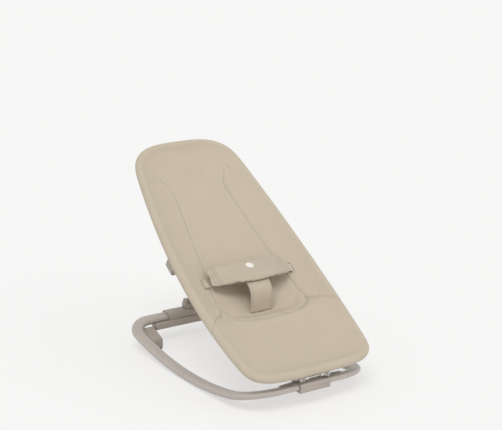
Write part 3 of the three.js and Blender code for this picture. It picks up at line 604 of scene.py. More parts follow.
class Wardrobe:
    """Makes each finish's material once."""

    def __init__(self) -> None:
        """Start with no material made."""
        self._made: dict[Finish, bpy.types.Material] = {}

    def material(self, finish: Finish) -> bpy.types.Material:
        """The material of a finish.

        Args:
            finish: The finish.

        Returns:
            Its material.
        """
        if finish not in self._made:
            self._made[finish] = finish.value.material()
        return self._made[finish]

    def dress(self, piece: bpy.types.Object, finish: Finish) -> None:
        """Give a piece a finish in every material slot.

        Args:
            piece: The object.
            finish: The finish.
        """
        if not piece.material_slots:
            piece.data.materials.append(self.material(finish))
        for slot in piece.material_slots:
            slot.material = self.material(finish)


# --------------------------------------------------------------------------- mesh helpers
def mesh_piece(name: str, points: np.ndarray, faces: Sequence[Sequence[int]],
               merge: float = 0.0) -> bpy.types.Object:
    """Make a smooth-shaded mesh object from points in millimetres.

    Args:
        name: The object's name.
        points: Points in the workshop frame, in millimetres.
        faces: Indices of each face's corners.
        merge: Points closer than this many millimetres become one.

    Returns:
        The new object, in metres.
    """
    mesh = bpy.data.meshes.new(name)
    mesh.from_pydata(to_metres(points).tolist(), [], faces)
    piece = bpy.data.objects.new(name, mesh)
    bpy.context.scene.collection.objects.link(piece)
    work = bmesh.new()
    work.from_mesh(mesh)
    if merge > 0:
        bmesh.ops.remove_doubles(work, verts=work.verts, dist=merge * MM)
        bmesh.ops.dissolve_degenerate(work, dist=1e-7, edges=work.edges)
    bmesh.ops.recalc_face_normals(work, faces=work.faces)
    work.to_mesh(mesh)
    work.free()
    mesh.shade_smooth()
    return piece


def to_metres(points: np.ndarray) -> np.ndarray:
    """Move points from the workshop frame to the frame's metres.

    Args:
        points: Points in millimetres.

    Returns:
        Points in metres.
    """
    return (np.asarray(points, dtype=float) - ORIGIN) * MM


def to_millimetres(points: np.ndarray) -> np.ndarray:
    """Move points from the frame's metres to the workshop frame.

    Args:
        points: Points in metres.

    Returns:
        Points in millimetres.
    """
    return points / MM + ORIGIN


def read_points(mesh: bpy.types.Mesh) -> np.ndarray:
    """Read a mesh's points.

    Args:
        mesh: The mesh.

    Returns:
        Its points in metres.
    """
    flat = np.empty(len(mesh.vertices) * 3)
    mesh.vertices.foreach_get("co", flat)
    return flat.reshape(-1, 3)


def write_points(mesh: bpy.types.Mesh, points: np.ndarray) -> None:
    """Move a mesh's points.

    Args:
        mesh: The mesh.
        points: Its new points in metres.
    """
    mesh.vertices.foreach_set("co", np.ascontiguousarray(points).ravel())
    mesh.update()


def store(mesh: bpy.types.Mesh, name: str, values: np.ndarray) -> None:
    """Store a number or a vector at each of a mesh's points.

    Args:
        mesh: The mesh.
        name: The attribute's name.
        values: One row a point.
    """
    kind, key = ("FLOAT", "value") if values.ndim == 1 else ("FLOAT_VECTOR", "vector")
    attribute = mesh.attributes.new(name, kind, "POINT")
    attribute.data.foreach_set(key, values.astype(np.float32).ravel())


def end_caps(rows: int, columns: int, start: int = 0) -> list[tuple[int, ...]]:
    """Faces that close both ends of a grid of rings.

    Args:
        rows: The number of rings.
        columns: Points in a ring.
        start: The first point's index.

    Returns:
        The two faces.
    """
    final = start + rows * columns - 1
    return [tuple(start + i for i in range(columns)), tuple(final - i for i in range(columns))]


def grid_faces(rows: int, columns: int, closed: bool, start: int = 0) -> list[tuple[int, ...]]:
    """Quads of a grid of points.

    Args:
        rows: The number of rows.
        columns: Points in a row.
        closed: Whether each row's end meets its start.
        start: The first point's index.

    Returns:
        The faces.
    """
    last = columns if closed else columns - 1
    return [(start + row * columns + i, start + row * columns + (i + 1) % columns,
             start + (row + 1) * columns + (i + 1) % columns, start + (row + 1) * columns + i)
            for row in range(rows - 1) for i in range(last)]


def apply_modifiers(piece: bpy.types.Object) -> None:
    """Turn a piece's modifiers into its mesh.

    Args:
        piece: The object.
    """
    graph = bpy.context.evaluated_depsgraph_get()
    final = bpy.data.meshes.new_from_object(piece.evaluated_get(graph), depsgraph=graph)
    old = piece.data
    piece.modifiers.clear()
    piece.data = final
    bpy.data.meshes.remove(old)


def smooth_step(value: np.ndarray, low: float, high: float) -> np.ndarray:
    """Smooth rise between two values.

    Args:
        value: The values.
        low: Where the rise starts, at 0.
        high: Where it ends, at 1.

    Returns:
        The share at each value.
    """
    share = np.clip((value - low) / (high - low), 0, 1)
    return share * share * (3 - 2 * share)


def rounded_line(corners: Sequence[Sequence[float]], spacing: float) -> np.ndarray:
    """A smooth line through points, sampled evenly.

    Args:
        corners: The points that it goes through.
        spacing: The distance between samples.

    Returns:
        The samples.
    """
    pins = np.asarray(corners, dtype=float)
    padded = np.vstack([2 * pins[0] - pins[1], pins, 2 * pins[-1] - pins[-2]])
    fine = []
    for i in range(len(pins) - 1):
        a, b, c, d = padded[i:i + 4]
        for t in np.linspace(0, 1, SPAN_STEPS, endpoint=False):
            fine.append(0.5 * (2 * b + (c - a) * t + (2 * a - 5 * b + 4 * c - d) * t * t
                               + (3 * b - a - 3 * c + d) * t ** 3))
    fine.append(pins[-1])
    return even_samples(np.array(fine), spacing)


def even_samples(line: np.ndarray, spacing: float) -> np.ndarray:
    """Sample a line of points at an even spacing.

    Args:
        line: The points.
        spacing: The distance between samples.

    Returns:
        The samples, with both ends.
    """
    run = np.concatenate([[0], np.cumsum(np.linalg.norm(np.diff(line, axis=0), axis=1))])
    count = max(2, int(round(run[-1] / spacing)) + 1)
    at = np.linspace(0, run[-1], count)
    return np.stack([np.interp(at, run, line[:, k]) for k in range(line.shape[1])], axis=1)


def distance_to_line(points: np.ndarray, line: np.ndarray) -> np.ndarray:
    """Distance from each point to the nearest part of a flat line.

    Args:
        points: Points on the flat, one a row.
        line: The line's points.

    Returns:
        One distance a point.
    """
    nearest = np.full(len(points), FAR)
    for start, end in zip(line[:-1], line[1:]):
        along = end - start
        share = np.clip(((points - start) @ along) / max(along @ along, 1e-9), 0, 1)
        gap = np.linalg.norm(points - start - share[:, None] * along, axis=1)
        nearest = np.minimum(nearest, gap)
    return nearest


def ripple(x: np.ndarray, s: np.ndarray, size: float, turn: float) -> np.ndarray:
    """Irregular soft waves between -1 and 1.

    Args:
        x: Position across, in millimetres.
        s: Position along, in millimetres.
        size: The waves' length, in millimetres.
        turn: A phase that makes one set of waves differ from another.

    Returns:
        The wave's height.
    """
    k = 2 * math.pi / size
    return (np.sin(k * x + 1.7 * np.sin(k * 0.43 * s + turn) + turn)
            * np.sin(k * 0.71 * s + 1.3 * np.sin(k * 0.37 * x - turn)) * 0.6
            + 0.4 * np.sin(k * 0.53 * (x + s) + 2 * turn))


def sweep_tube(name: str, centres: np.ndarray, uprights: np.ndarray, section: np.ndarray,
               closed: bool = False, taper: float = 0.0) -> bpy.types.Object:
    """Sweep a closed section along a line.

    Args:
        name: The object's name.
        centres: The line's points.
        uprights: The section's upward direction at each point.
        section: Section points as sideways and upward distances.
        closed: Whether the line's end meets its start.
        taper: The share of the section left at both ends, or 0 for a plain end.

    Returns:
        The new object.
    """
    if closed:
        tangents = np.roll(centres, -1, axis=0) - np.roll(centres, 1, axis=0)
    else:
        tangents = np.gradient(centres, axis=0)
    tangents /= np.linalg.norm(tangents, axis=1, keepdims=True)
    sideways = np.cross(tangents, uprights)
    sideways /= np.linalg.norm(sideways, axis=1, keepdims=True)
    upward = np.cross(sideways, tangents)
    scale = np.ones(len(centres))
    if taper:
        scale[[0, -1]] = taper
    rings = (centres[:, None, :] + scale[:, None, None] * (section[None, :, :1] * sideways[:, None, :]
                                                         + section[None, :, 1:] * upward[:, None, :]))
    count = len(section)
    points = rings.reshape(-1, 3)
    faces = grid_faces(len(centres), count, True)
    if closed:
        last = (len(centres) - 1) * count
        faces += [(last + i, last + (i + 1) % count, (i + 1) % count, i) for i in range(count)]
    else:
        faces += end_caps(len(centres), count)
    return mesh_piece(name, points, faces)


def oval_section(half_width: float, half_height: float, count: int, flat: float = 0.0) -> np.ndarray:
    """Points of an oval section with a flat middle.

    Args:
        half_width: Half the width.
        half_height: Half the height.
        count: The number of points.
        flat: Half the flat part's width.

    Returns:
        Sideways and upward distances.
    """
    angle = np.arange(count) / count * 2 * math.pi
    side = np.sign(np.round(np.cos(angle), 6)) * flat
    return np.stack([side + (half_width - flat) * np.cos(angle), half_height * np.sin(angle)], axis=1)


def stitch_run(name: str, line: np.ndarray, normals: np.ndarray, length: float = STITCH,
               gap: float = 0.9, radius: float = 0.38) -> bpy.types.Object:
    """A row of thread stitches lying on a surface.

    Args:
        name: The object's name.
        line: Points on the surface, in millimetres.
        normals: The surface's outward direction at each point.
        length: A stitch's length.
        gap: The gap between stitches.
        radius: The thread's radius.

    Returns:
        One object that holds the whole row.
    """
    run = np.concatenate([[0], np.cumsum(np.linalg.norm(np.diff(line, axis=0), axis=1))])
    shares = np.array([0.0, 0.12, 0.35, 0.65, 0.88, 1.0])
    swell = np.array([0.25, 0.8, 1.0, 1.0, 0.8, 0.25])
    lift = np.array([-0.5, 0.1, 0.45, 0.45, 0.1, -0.5]) * radius
    points, faces = [], []
    starts = np.arange(gap, run[-1] - length, length + gap)
    for begin in starts:
        at = begin + shares * length
        centre = np.stack([np.interp(at, run, line[:, k]) for k in range(3)], axis=1)
        normal = np.stack([np.interp(at, run, normals[:, k]) for k in range(3)], axis=1)
        along = centre[-1] - centre[0]
        along /= np.linalg.norm(along)
        base = len(points)
        for ring, (middle, up) in enumerate(zip(centre, normal)):
            side = np.cross(along, up)
            side /= np.linalg.norm(side)
            for k in range(THREAD_SIDES):
                turn = k / THREAD_SIDES * 2 * math.pi
                points.append(middle + up * (lift[ring] + swell[ring] * radius * math.sin(turn))
                              + side * swell[ring] * radius * math.cos(turn))
        faces += grid_faces(len(shares), THREAD_SIDES, True, base)
        faces += end_caps(len(shares), THREAD_SIDES, base)
    return mesh_piece(name, np.array(points), faces)


def finished_copy(node: str, name: str, edge: float, angle: float = 32.0) -> bpy.types.Object:
    """A CAD node's shape with its sharp edges rounded.

    Args:
        node: The CAD node.
        name: The new object's name.
        edge: The edge radius, in millimetres.
        angle: Edges sharper than this many degrees are rounded.

    Returns:
        The new object, which stands for the node.
    """
    source = FRAME["nodes"][node]
    mesh = source.data.copy()
    mesh.name = name
    piece = bpy.data.objects.new(name, mesh)
    piece.matrix_world = source.matrix_world.copy()
    bpy.context.scene.collection.objects.link(piece)
    work = bmesh.new()
    work.from_mesh(mesh)
    bmesh.ops.remove_doubles(work, verts=work.verts, dist=1e-6)
    bmesh.ops.dissolve_limit(work, angle_limit=math.radians(0.6), verts=work.verts, edges=work.edges)
    work.to_mesh(mesh)
    work.free()
    bevel = piece.modifiers.new("edges", "BEVEL")
    bevel.width = edge * MM
    bevel.segments = 3
    bevel.limit_method = "ANGLE"
    bevel.angle_limit = math.radians(angle)
    bevel.harden_normals = True
    bevel.miter_outer = "MITER_ARC"
    apply_modifiers(piece)
    piece.data.shade_smooth()
    work = bmesh.new()
    work.from_mesh(piece.data)
    for line in work.edges:
        if len(line.link_faces) == 2 and line.calc_face_angle(0.0) > math.radians(angle):
            line.smooth = False
    work.to_mesh(piece.data)
    work.free()
    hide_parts(node)
    return piece


# --------------------------------------------------------------------------- the seat's surface
@dataclass
class SeatSurface:
    """The seat's own coordinates: x across, s along the profile from the foot, n square to it.

    Attributes:
        length: The profile's length.
        foot: The foot end's y and z.
        angles: Slopes at the foot, middle and head, in degrees.
        widths: Half widths at shares of the length.
        foot_corner: The foot corner's length and power.
        head_corner: The head corner's length and power.
        tube_radius: The seat tube's radius.
        cover_thickness: The cover's thickness.
        sag: The sling's depth at stations along its middle.
        wrap: How far round the tube the upper face meets it, in degrees.
    """

    length: float = 819.0
    foot: tuple[float, float] = (-196.4, 87.5)
    angles: tuple[float, float, float] = (23.6, 33.7, 38.3)
    widths: tuple[tuple[float, float], ...] = ((0, 178.7), (0.4, 200), (0.72, 181.5), (1, 145.6))
    foot_corner: tuple[float, float] = (93.6, 4.2)
    head_corner: tuple[float, float] = (115.2, 3.3)
    tube_radius: float = 9.0
    cover_thickness: float = 3.0
    sag: tuple[tuple[float, float], ...] = ((0, 0), (110, 9), (212, 16), (262, 46), (330, 36),
                                            (430, 24), (650, 11), (819, 6))
    wrap: float = 125.0

    def __post_init__(self) -> None:
        """Tabulate the profile."""
        foot, middle, head = self.angles
        self.table_s = np.linspace(0, self.length, 1639)
        share = self.table_s / self.length
        degrees = (foot * (1 - share) * (1 - 2 * share) + 4 * middle * share * (1 - share)
                   + head * share * (2 * share - 1))
        self.table_angle = np.radians(degrees)
        middle_angle = (self.table_angle[1:] + self.table_angle[:-1]) / 2
        step = np.diff(self.table_s)
        self.table_y = self.foot[0] + np.concatenate([[0], np.cumsum(np.cos(middle_angle) * step)])
        self.table_z = self.foot[1] + np.concatenate([[0], np.cumsum(np.sin(middle_angle) * step)])
        self.rim_outer = self.tube_radius + 0.3 + self.cover_thickness
        self.rim_inner = (self.tube_radius + 0.3) / math.cos(math.radians(21))
        shares = np.array([share for share, _ in self.widths])
        self.width_curve = np.polyfit(shares, np.array([width for _, width in self.widths]), 3)

    def frame(self, s: np.ndarray) -> tuple[np.ndarray, np.ndarray, np.ndarray]:
        """Profile point and slope.

        Args:
            s: Distances along the profile.

        Returns:
            The y, z and slope in radians at each.
        """
        inside = np.clip(s, 0, self.length)
        angle = np.interp(inside, self.table_s, self.table_angle)
        beyond = s - inside
        y = np.interp(inside, self.table_s, self.table_y) + beyond * np.cos(angle)
        z = np.interp(inside, self.table_s, self.table_z) + beyond * np.sin(angle)
        return y, z, angle

    def point(self, x: np.ndarray, s: np.ndarray, n: np.ndarray) -> np.ndarray:
        """Workshop points of seat coordinates.

        Args:
            x: Distances across.
            s: Distances along.
            n: Heights.

        Returns:
            Points in millimetres.
        """
        x, s, n = np.broadcast_arrays(*(np.asarray(value, dtype=float) for value in (x, s, n)))
        y, z, angle = self.frame(s)
        return np.stack([x, y - n * np.sin(angle), z + n * np.cos(angle)], axis=-1)

    def normal(self, s: np.ndarray) -> np.ndarray:
        """Direction square to the seat.

        Args:
            s: Distances along.

        Returns:
            A unit vector at each.
        """
        _, _, angle = self.frame(np.asarray(s, dtype=float))
        return np.stack([np.zeros_like(angle), -np.sin(angle), np.cos(angle)], axis=-1)

    def coordinates(self, points: np.ndarray) -> np.ndarray:
        """Seat coordinates of workshop points.

        Args:
            points: Points in millimetres.

        Returns:
            x, s and n of each.
        """
        s = np.interp(points[:, 1], self.table_y, self.table_s)
        for _ in range(8):
            y, z, angle = self.frame(s)
            s = s + (points[:, 1] - y) * np.cos(angle) + (points[:, 2] - z) * np.sin(angle)
        y, z, angle = self.frame(s)
        n = -(points[:, 1] - y) * np.sin(angle) + (points[:, 2] - z) * np.cos(angle)
        return np.stack([points[:, 0], s, n], axis=1)

    def half_width(self, s: np.ndarray) -> np.ndarray:
        """Half the seat's width.

        Args:
            s: Distances along.

        Returns:
            The half width at each.
        """
        return np.polyval(self.width_curve, np.asarray(s) / self.length)

    def outline(self, q: np.ndarray) -> np.ndarray:
        """The rim's outline.

        Args:
            q: 0 at the foot's centre, 1 and 2 at the corners' ends, 3 at the head's centre.

        Returns:
            x and s of each.
        """
        length, power = self.foot_corner
        angle = np.clip(q, 0, 1) * math.pi / 2
        foot_s = length * (1 - np.cos(angle) ** (2 / power))
        foot_x = self.half_width(foot_s) * np.sin(angle) ** (2 / power)
        head_length, head_power = self.head_corner
        turn = np.clip(3 - q, 0, 1) * math.pi / 2
        head_s = self.length - head_length * (1 - np.cos(turn) ** (2 / head_power))
        head_x = self.half_width(head_s) * np.sin(turn) ** (2 / head_power)
        side_s = length + (self.length - head_length - length) * np.clip(q - 1, 0, 1)
        side_x = self.half_width(side_s)
        s = np.where(q <= 1, foot_s, np.where(q <= 2, side_s, head_s))
        x = np.where(q <= 1, foot_x, np.where(q <= 2, side_x, head_x))
        return np.stack([x, s], axis=1)

    def rim(self, corner: int, side: int) -> np.ndarray:
        """The whole rim, with its outward direction.

        Args:
            corner: Steps round a corner.
            side: Steps along a side.

        Returns:
            x, s and the outward x and s of each point.
        """
        q = np.concatenate([np.linspace(0, 1, corner + 1), np.linspace(1, 2, side + 1)[1:-1],
                            np.linspace(2, 3, corner + 1)])
        place = self.outline(q)
        ahead = self.outline(np.minimum(q + 1e-4, 3)) - self.outline(np.maximum(q - 1e-4, 0))
        ahead /= np.linalg.norm(ahead, axis=1, keepdims=True)
        right = np.column_stack([place, ahead[:, 1], -ahead[:, 0]])
        left = right[1:-1][::-1] * np.array([-1, 1, -1, 1])
        return np.vstack([right, left])

    def inset(self, rim: np.ndarray, distance: Number) -> np.ndarray:
        """The rim moved inwards.

        Args:
            rim: The rim from rim().
            distance: How far, for all or for each point.

        Returns:
            x and s of each point.
        """
        return rim[:, :2] - rim[:, 2:] * np.asarray(distance, dtype=float).reshape(-1, 1)

    def sag_at(self, s: np.ndarray) -> np.ndarray:
        """The sling's depth along its middle.

        Args:
            s: Distances along.

        Returns:
            The depth at each.
        """
        stations = np.array(self.sag)
        inside = np.clip(s, stations[0, 0], stations[-1, 0])
        index = np.clip(np.searchsorted(stations[:, 0], inside), 1, len(stations) - 1)
        low, high = stations[index - 1], stations[index]
        share = (inside - low[:, 0]) / (high[:, 0] - low[:, 0])
        share = share * share * (3 - 2 * share)
        return low[:, 1] + (high[:, 1] - low[:, 1]) * share

    def sling(self, rim: np.ndarray, ring: float) -> tuple[np.ndarray, np.ndarray, np.ndarray]:
        """A ring of the sling's upper face.

        Args:
            rim: The rim from rim().
            ring: 0 on the seat's middle line and 1 at the rim.

        Returns:
            x, s and n of each point.
        """
        bend = math.radians(self.wrap)
        edge = self.inset(rim, self.rim_outer * (1 - math.cos(bend)))
        axis_s = np.clip(edge[:, 1], self.foot_corner[0], self.length - self.head_corner[0])
        s = axis_s + (edge[:, 1] - axis_s) * ring
        n = self.rim_outer * math.sin(bend) * ring ** 6 - self.sag_at(s) * (1 - ring ** 2.2)
        return ring * edge[:, 0], s, n


def mark_cloth(piece: bpy.types.Object, surface: SeatSurface, seams: Sequence[np.ndarray] = (),
               seam_width: float = 1.2, upper_only: bool = True) -> None:
    """Store the cloth directions and the painted shade along the seams on a piece.

    Args:
        piece: The soft piece.
        surface: The seat's surface.
        seams: Lines in x and s.
        seam_width: How wide a seam's shadow is, in millimetres.
        upper_only: Whether the painted seam shade shows only on the side that faces up.
    """
    mesh = piece.data
    count = len(mesh.vertices)
    place = surface.coordinates(to_millimetres(read_points(mesh)))
    store(mesh, "cloth", place * MM)
    # Painted shade: a darkening share that falls off with distance from each seam line.
    seam_shade = np.zeros(count)
    for seam in seams:
        seam_shade = np.maximum(seam_shade, np.exp(-(distance_to_line(place[:, :2], seam) / seam_width) ** 2))
    if upper_only and len(seams):
        facing = np.empty(count * 3)
        mesh.vertices.foreach_get("normal", facing)
        seam_shade *= np.sum(facing.reshape(-1, 3) * surface.normal(place[:, 1]), axis=1) > 0
    store(mesh, "seam_shade", seam_shade)


def lay_on(piece: bpy.types.Object, surface: SeatSurface, flat: np.ndarray) -> np.ndarray:
    """Points where lines square to the seat meet a piece's upper face.

    Args:
        piece: The piece.
        surface: The seat's surface.
        flat: x and s of each place.

    Returns:
        Points in millimetres; a place beside the piece takes its neighbour's height.
    """
    above = to_metres(surface.point(flat[:, 0], flat[:, 1], np.full(len(flat), CAST_HEIGHT)))
    down = -surface.normal(flat[:, 1])
    heights = np.full(len(flat), np.nan)
    for index, (start, way) in enumerate(zip(above, down)):
        hit, where, _, _ = piece.ray_cast(Vector(start), Vector(way))
        if hit:
            heights[index] = CAST_HEIGHT - (Vector(start) - where).length / MM
    known = ~np.isnan(heights)
    order = np.arange(len(flat))
    heights = np.interp(order, order[known], heights[known])
    return surface.point(flat[:, 0], flat[:, 1], heights)


def mirrored(line: Sequence[Sequence[float]]) -> list[tuple[float, ...]]:
    """The same line on the left side.

    Args:
        line: Points on the right side.

    Returns:
        The points with their first number turned over.
    """
    return [(-point[0], *point[1:]) for point in line]


def attach(piece: bpy.types.Object, wardrobe: Wardrobe, finish: Finish,
           node: str = "") -> None:
    """Dress a piece and tie it to the seat.

    Args:
        piece: The piece.
        wardrobe: The materials.
        finish: Its finish.
        node: The CAD node that it stands for, if any.
    """
    wardrobe.dress(piece, finish)
    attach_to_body(piece, "seat")
    if node:
        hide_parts(node)
    LOG.info("%s: %d faces", piece.name, len(piece.data.polygons))


def sew_row(wardrobe: Wardrobe, name: str, points: np.ndarray, normals: np.ndarray,
            length: float = STITCH) -> None:
    """Sew one row of stitches that rides with the seat.

    Args:
        wardrobe: The materials.
        name: The row's name.
        points: Points along the row.
        normals: The surface's outward direction at each.
        length: A stitch's length.
    """
    attach(stitch_run(name, points, normals, length), wardrobe, Finish.THREAD)


# --------------------------------------------------------------------------- soft pieces
@dataclass
class SeatCover:
    """Knitted sling that wraps over the seat tube and ends in a hem below it.

    Attributes:
        surface: The seat's surface.
        wardrobe: The materials.
        rings: Steps from the middle line to the rim.
        panel: The centre panel's right seam in x and s.
        hip: The right hip seam.
        pocket: The right half of the pocket's edge.
        slot_x: Distance of the strap slots from the middle.
        slot_s: Their place along the seat.
        slot_size: Their width and length.
        hem: Where the wrap round the tube ends, in degrees.
        seams: The seam lines, filled by build().
    """

    surface: SeatSurface
    wardrobe: Wardrobe
    rings: int = 120
    panel: tuple = ((119, 722), (104, 706), (89, 684), (80, 655), (83, 615), (88, 570), (97, 490),
                    (107, 400), (116, 345), (122, 300), (127, 268), (126, 250), (114, 237))
    hip: tuple = ((127, 262), (138, 250), (156, 240), (172, 225), (185, 209), (198, 196))
    pocket: tuple = ((0, 219), (45, 220), (85, 226), (114, 237))
    slot_x: float = 135.3
    slot_s: float = 355.0
    slot_size: tuple[float, float] = (5.2, 31.0)
    hem: float = -85.0
    seams: list[np.ndarray] = field(default_factory=list)

    def build(self) -> None:
        """Make the cover, its slot bindings and its thread."""
        for line in (self.panel, self.hip, self.pocket):
            self.seams.append(rounded_line(line, 4.0))
            self.seams.append(rounded_line(mirrored(line), 4.0))
        cover = self._shell()
        self._cut_slots(cover)
        mark_cloth(cover, self.surface, self.seams)
        attach(cover, self.wardrobe, Finish.KNIT, node="seat_cover")
        self._bind_slots(cover)
        self._sew(cover)

    def drape(self, x: np.ndarray, s: np.ndarray, ring: np.ndarray) -> np.ndarray:
        """How far the sling stands above its smooth shape.

        Args:
            x: Distances across.
            s: Distances along.
            ring: 0 on the middle line and 1 at the rim.

        Returns:
            Heights in millimetres.
        """
        flat = np.column_stack([x, s])
        gaps = [distance_to_line(flat, seam) for seam in self.seams]
        near = np.minimum.reduce(gaps)
        lap_edge = np.minimum.reduce(gaps[2:])
        groove = -0.85 * np.exp(-(near / 2.4) ** 2) + 0.5 * np.exp(-((near - 9) / 6) ** 2)
        groove += -1.6 * np.exp(-(lap_edge / 4.5) ** 2) + 1.6 * np.exp(-((lap_edge - 14) / 9) ** 2)
        calm = 1 - ring ** 5
        hips = np.exp(-((np.abs(x) - 128) ** 2 + (s - 250) ** 2) / 48 ** 2)
        folds = 1.3 * hips * np.sin((s - 0.8 * np.abs(x)) / 5.2)
        lap = np.exp(-((s - 262) / 26) ** 2) * 1.1 * np.sin(np.abs(x) / 9.0 + 0.4 * np.sin(s / 11))
        bend = 3.6 * np.exp(-((np.abs(x) - 160) / 22) ** 2)
        past_hip = (np.abs(x) - 127) * 0.68 + (s - 262) * 0.73 - bend
        near_hip = np.exp(-(np.minimum.reduce(gaps[2:4]) / 15) ** 2)
        lip = 3.0 * smooth_step(past_hip, -1.5, 2.0) * near_hip
        soft = 0.35 * ripple(x, s, 74, 0.6) + 0.15 * ripple(x, s, 31, 2.1)
        return groove * np.minimum(1, calm + 0.3) + (folds + lap + lip + soft) * calm

    def _shell(self) -> bpy.types.Object:
        """Build the closed shell: upper face, wrap round the tube, hem and lower face.

        Returns:
            The shell.
        """
        surface = self.surface
        rim = surface.rim(*RIM_STEPS)
        count = len(rim)
        rows = []

        def wrap_row(radius: float, angle: float) -> None:
            """Add a ring round the tube.

            Args:
                radius: Its distance from the tube's centre.
                angle: Its direction from the outward one, in radians.
            """
            place = surface.inset(rim, surface.rim_outer - radius * math.cos(angle))
            rows.append(surface.point(place[:, 0], place[:, 1],
                                      np.full(count, radius * math.sin(angle))))

        for ring in np.linspace(0, 0.985, self.rings):
            x, s, n = surface.sling(rim, ring)
            rows.append(surface.point(x, s, n + self.drape(x, s, np.full(count, ring))))
        for angle in np.radians(np.linspace(surface.wrap, self.hem, 30)):
            roll = 0.7 * math.exp(-((math.degrees(angle) + 72) / 9) ** 2)
            pinch = -0.5 * math.exp(-((math.degrees(angle) + 52) / 5) ** 2)
            wrap_row(surface.rim_outer + roll + pinch, angle)
        for angle in np.radians(np.linspace(self.hem, surface.wrap, 16)):
            wrap_row(surface.rim_inner, angle)
        for ring in np.linspace(0.985, 0, 40):
            x, s, n = surface.sling(rim, ring)
            rows.append(surface.point(x, s, n - surface.cover_thickness
                                      + 0.8 * self.drape(x, s, np.full(count, ring))))
        faces = grid_faces(len(rows), count, True)
        return mesh_piece("seat_cover_knit", np.concatenate(rows), faces, merge=0.02)

    def _slot_line(self, side: int, grow: float) -> np.ndarray:
        """A slot's rounded outline.

        Args:
            side: 1 for right and -1 for left.
            grow: How much larger than the slot, in millimetres.

        Returns:
            x and s of each point.
        """
        radius = self.slot_size[0] / 2
        straight = self.slot_size[1] / 2 - radius
        angle = np.linspace(0, 2 * math.pi, 40, endpoint=False)
        x = (radius + grow) * np.cos(angle)
        s = (radius + grow) * np.sin(angle) + np.where(np.sin(angle) >= 0, straight, -straight)
        return np.column_stack([side * self.slot_x + x, self.slot_s + s])

    def _cut_slots(self, cover: bpy.types.Object) -> None:
        """Cut both strap slots through the cover.

        Args:
            cover: The cover's shell.
        """
        for side in (-1, 1):
            line = self._slot_line(side, 0)
            rows = [self.surface.point(line[:, 0], line[:, 1], np.full(len(line), n))
                    for n in (-45, 12)]
            faces = grid_faces(2, len(line), True) + end_caps(2, len(line))
            cutter = mesh_piece("slot_cutter", np.concatenate(rows), faces)
            cut = cover.modifiers.new("slot", "BOOLEAN")
            cut.operation = "DIFFERENCE"
            cut.solver = "EXACT"
            cut.object = cutter
            apply_modifiers(cover)
            bpy.data.objects.remove(cutter)

    def _bind_slots(self, cover: bpy.types.Object) -> None:
        """Buttonhole binding round both slots.

        Args:
            cover: The finished cover.
        """
        for name, side in (("left", -1), ("right", 1)):
            line = self._slot_line(side, 1.3)
            centres = lay_on(cover, self.surface, line) + 0.35 * self.surface.normal(line[:, 1])
            binding = sweep_tube(f"slot_binding_{name}", centres, self.surface.normal(line[:, 1]),
                                 oval_section(1.5, 0.85, 10), closed=True)
            mark_cloth(binding, self.surface)
            attach(binding, self.wardrobe, Finish.BELT_KNIT)

    def _sew(self, cover: bpy.types.Object) -> None:
        """Rows of stitches beside the seams and round the hem.

        Args:
            cover: The finished cover.
        """
        rows = {"panel_thread": (self.panel, 3.6, 24), "hip_thread": (self.hip, 3.6, 4),
                "pocket_thread": (self.pocket, -3.6, 4)}
        for title, (line, offset, skip) in rows.items():
            for name, side in (("left", -1), ("right", 1)):
                flat = rounded_line(line, 1.5)[skip:-4]
                along = np.gradient(flat, axis=0)
                along /= np.linalg.norm(along, axis=1, keepdims=True)
                flat = flat + offset * np.column_stack([along[:, 1], -along[:, 0]]) * -1
                flat[:, 0] *= side
                points = lay_on(cover, self.surface, flat)
                sew_row(self.wardrobe, f"{title}_{name}", points, self.surface.normal(flat[:, 1]))
        rim = self.surface.rim(*RIM_STEPS)
        angle = math.radians(-53)
        cos, sin = math.cos(angle), math.sin(angle)
        place = self.surface.inset(rim, self.surface.rim_outer * (1 - cos))
        low = np.full(len(rim), (self.surface.rim_outer - 0.4) * sin)
        around = self.surface.point(place[:, 0], place[:, 1], low)
        outward = self.surface.point(place[:, 0] + rim[:, 2] * cos, place[:, 1] + rim[:, 3] * cos,
                                     low + sin) - around
        sew_row(self.wardrobe, "hem_thread", around, outward, 4.0)


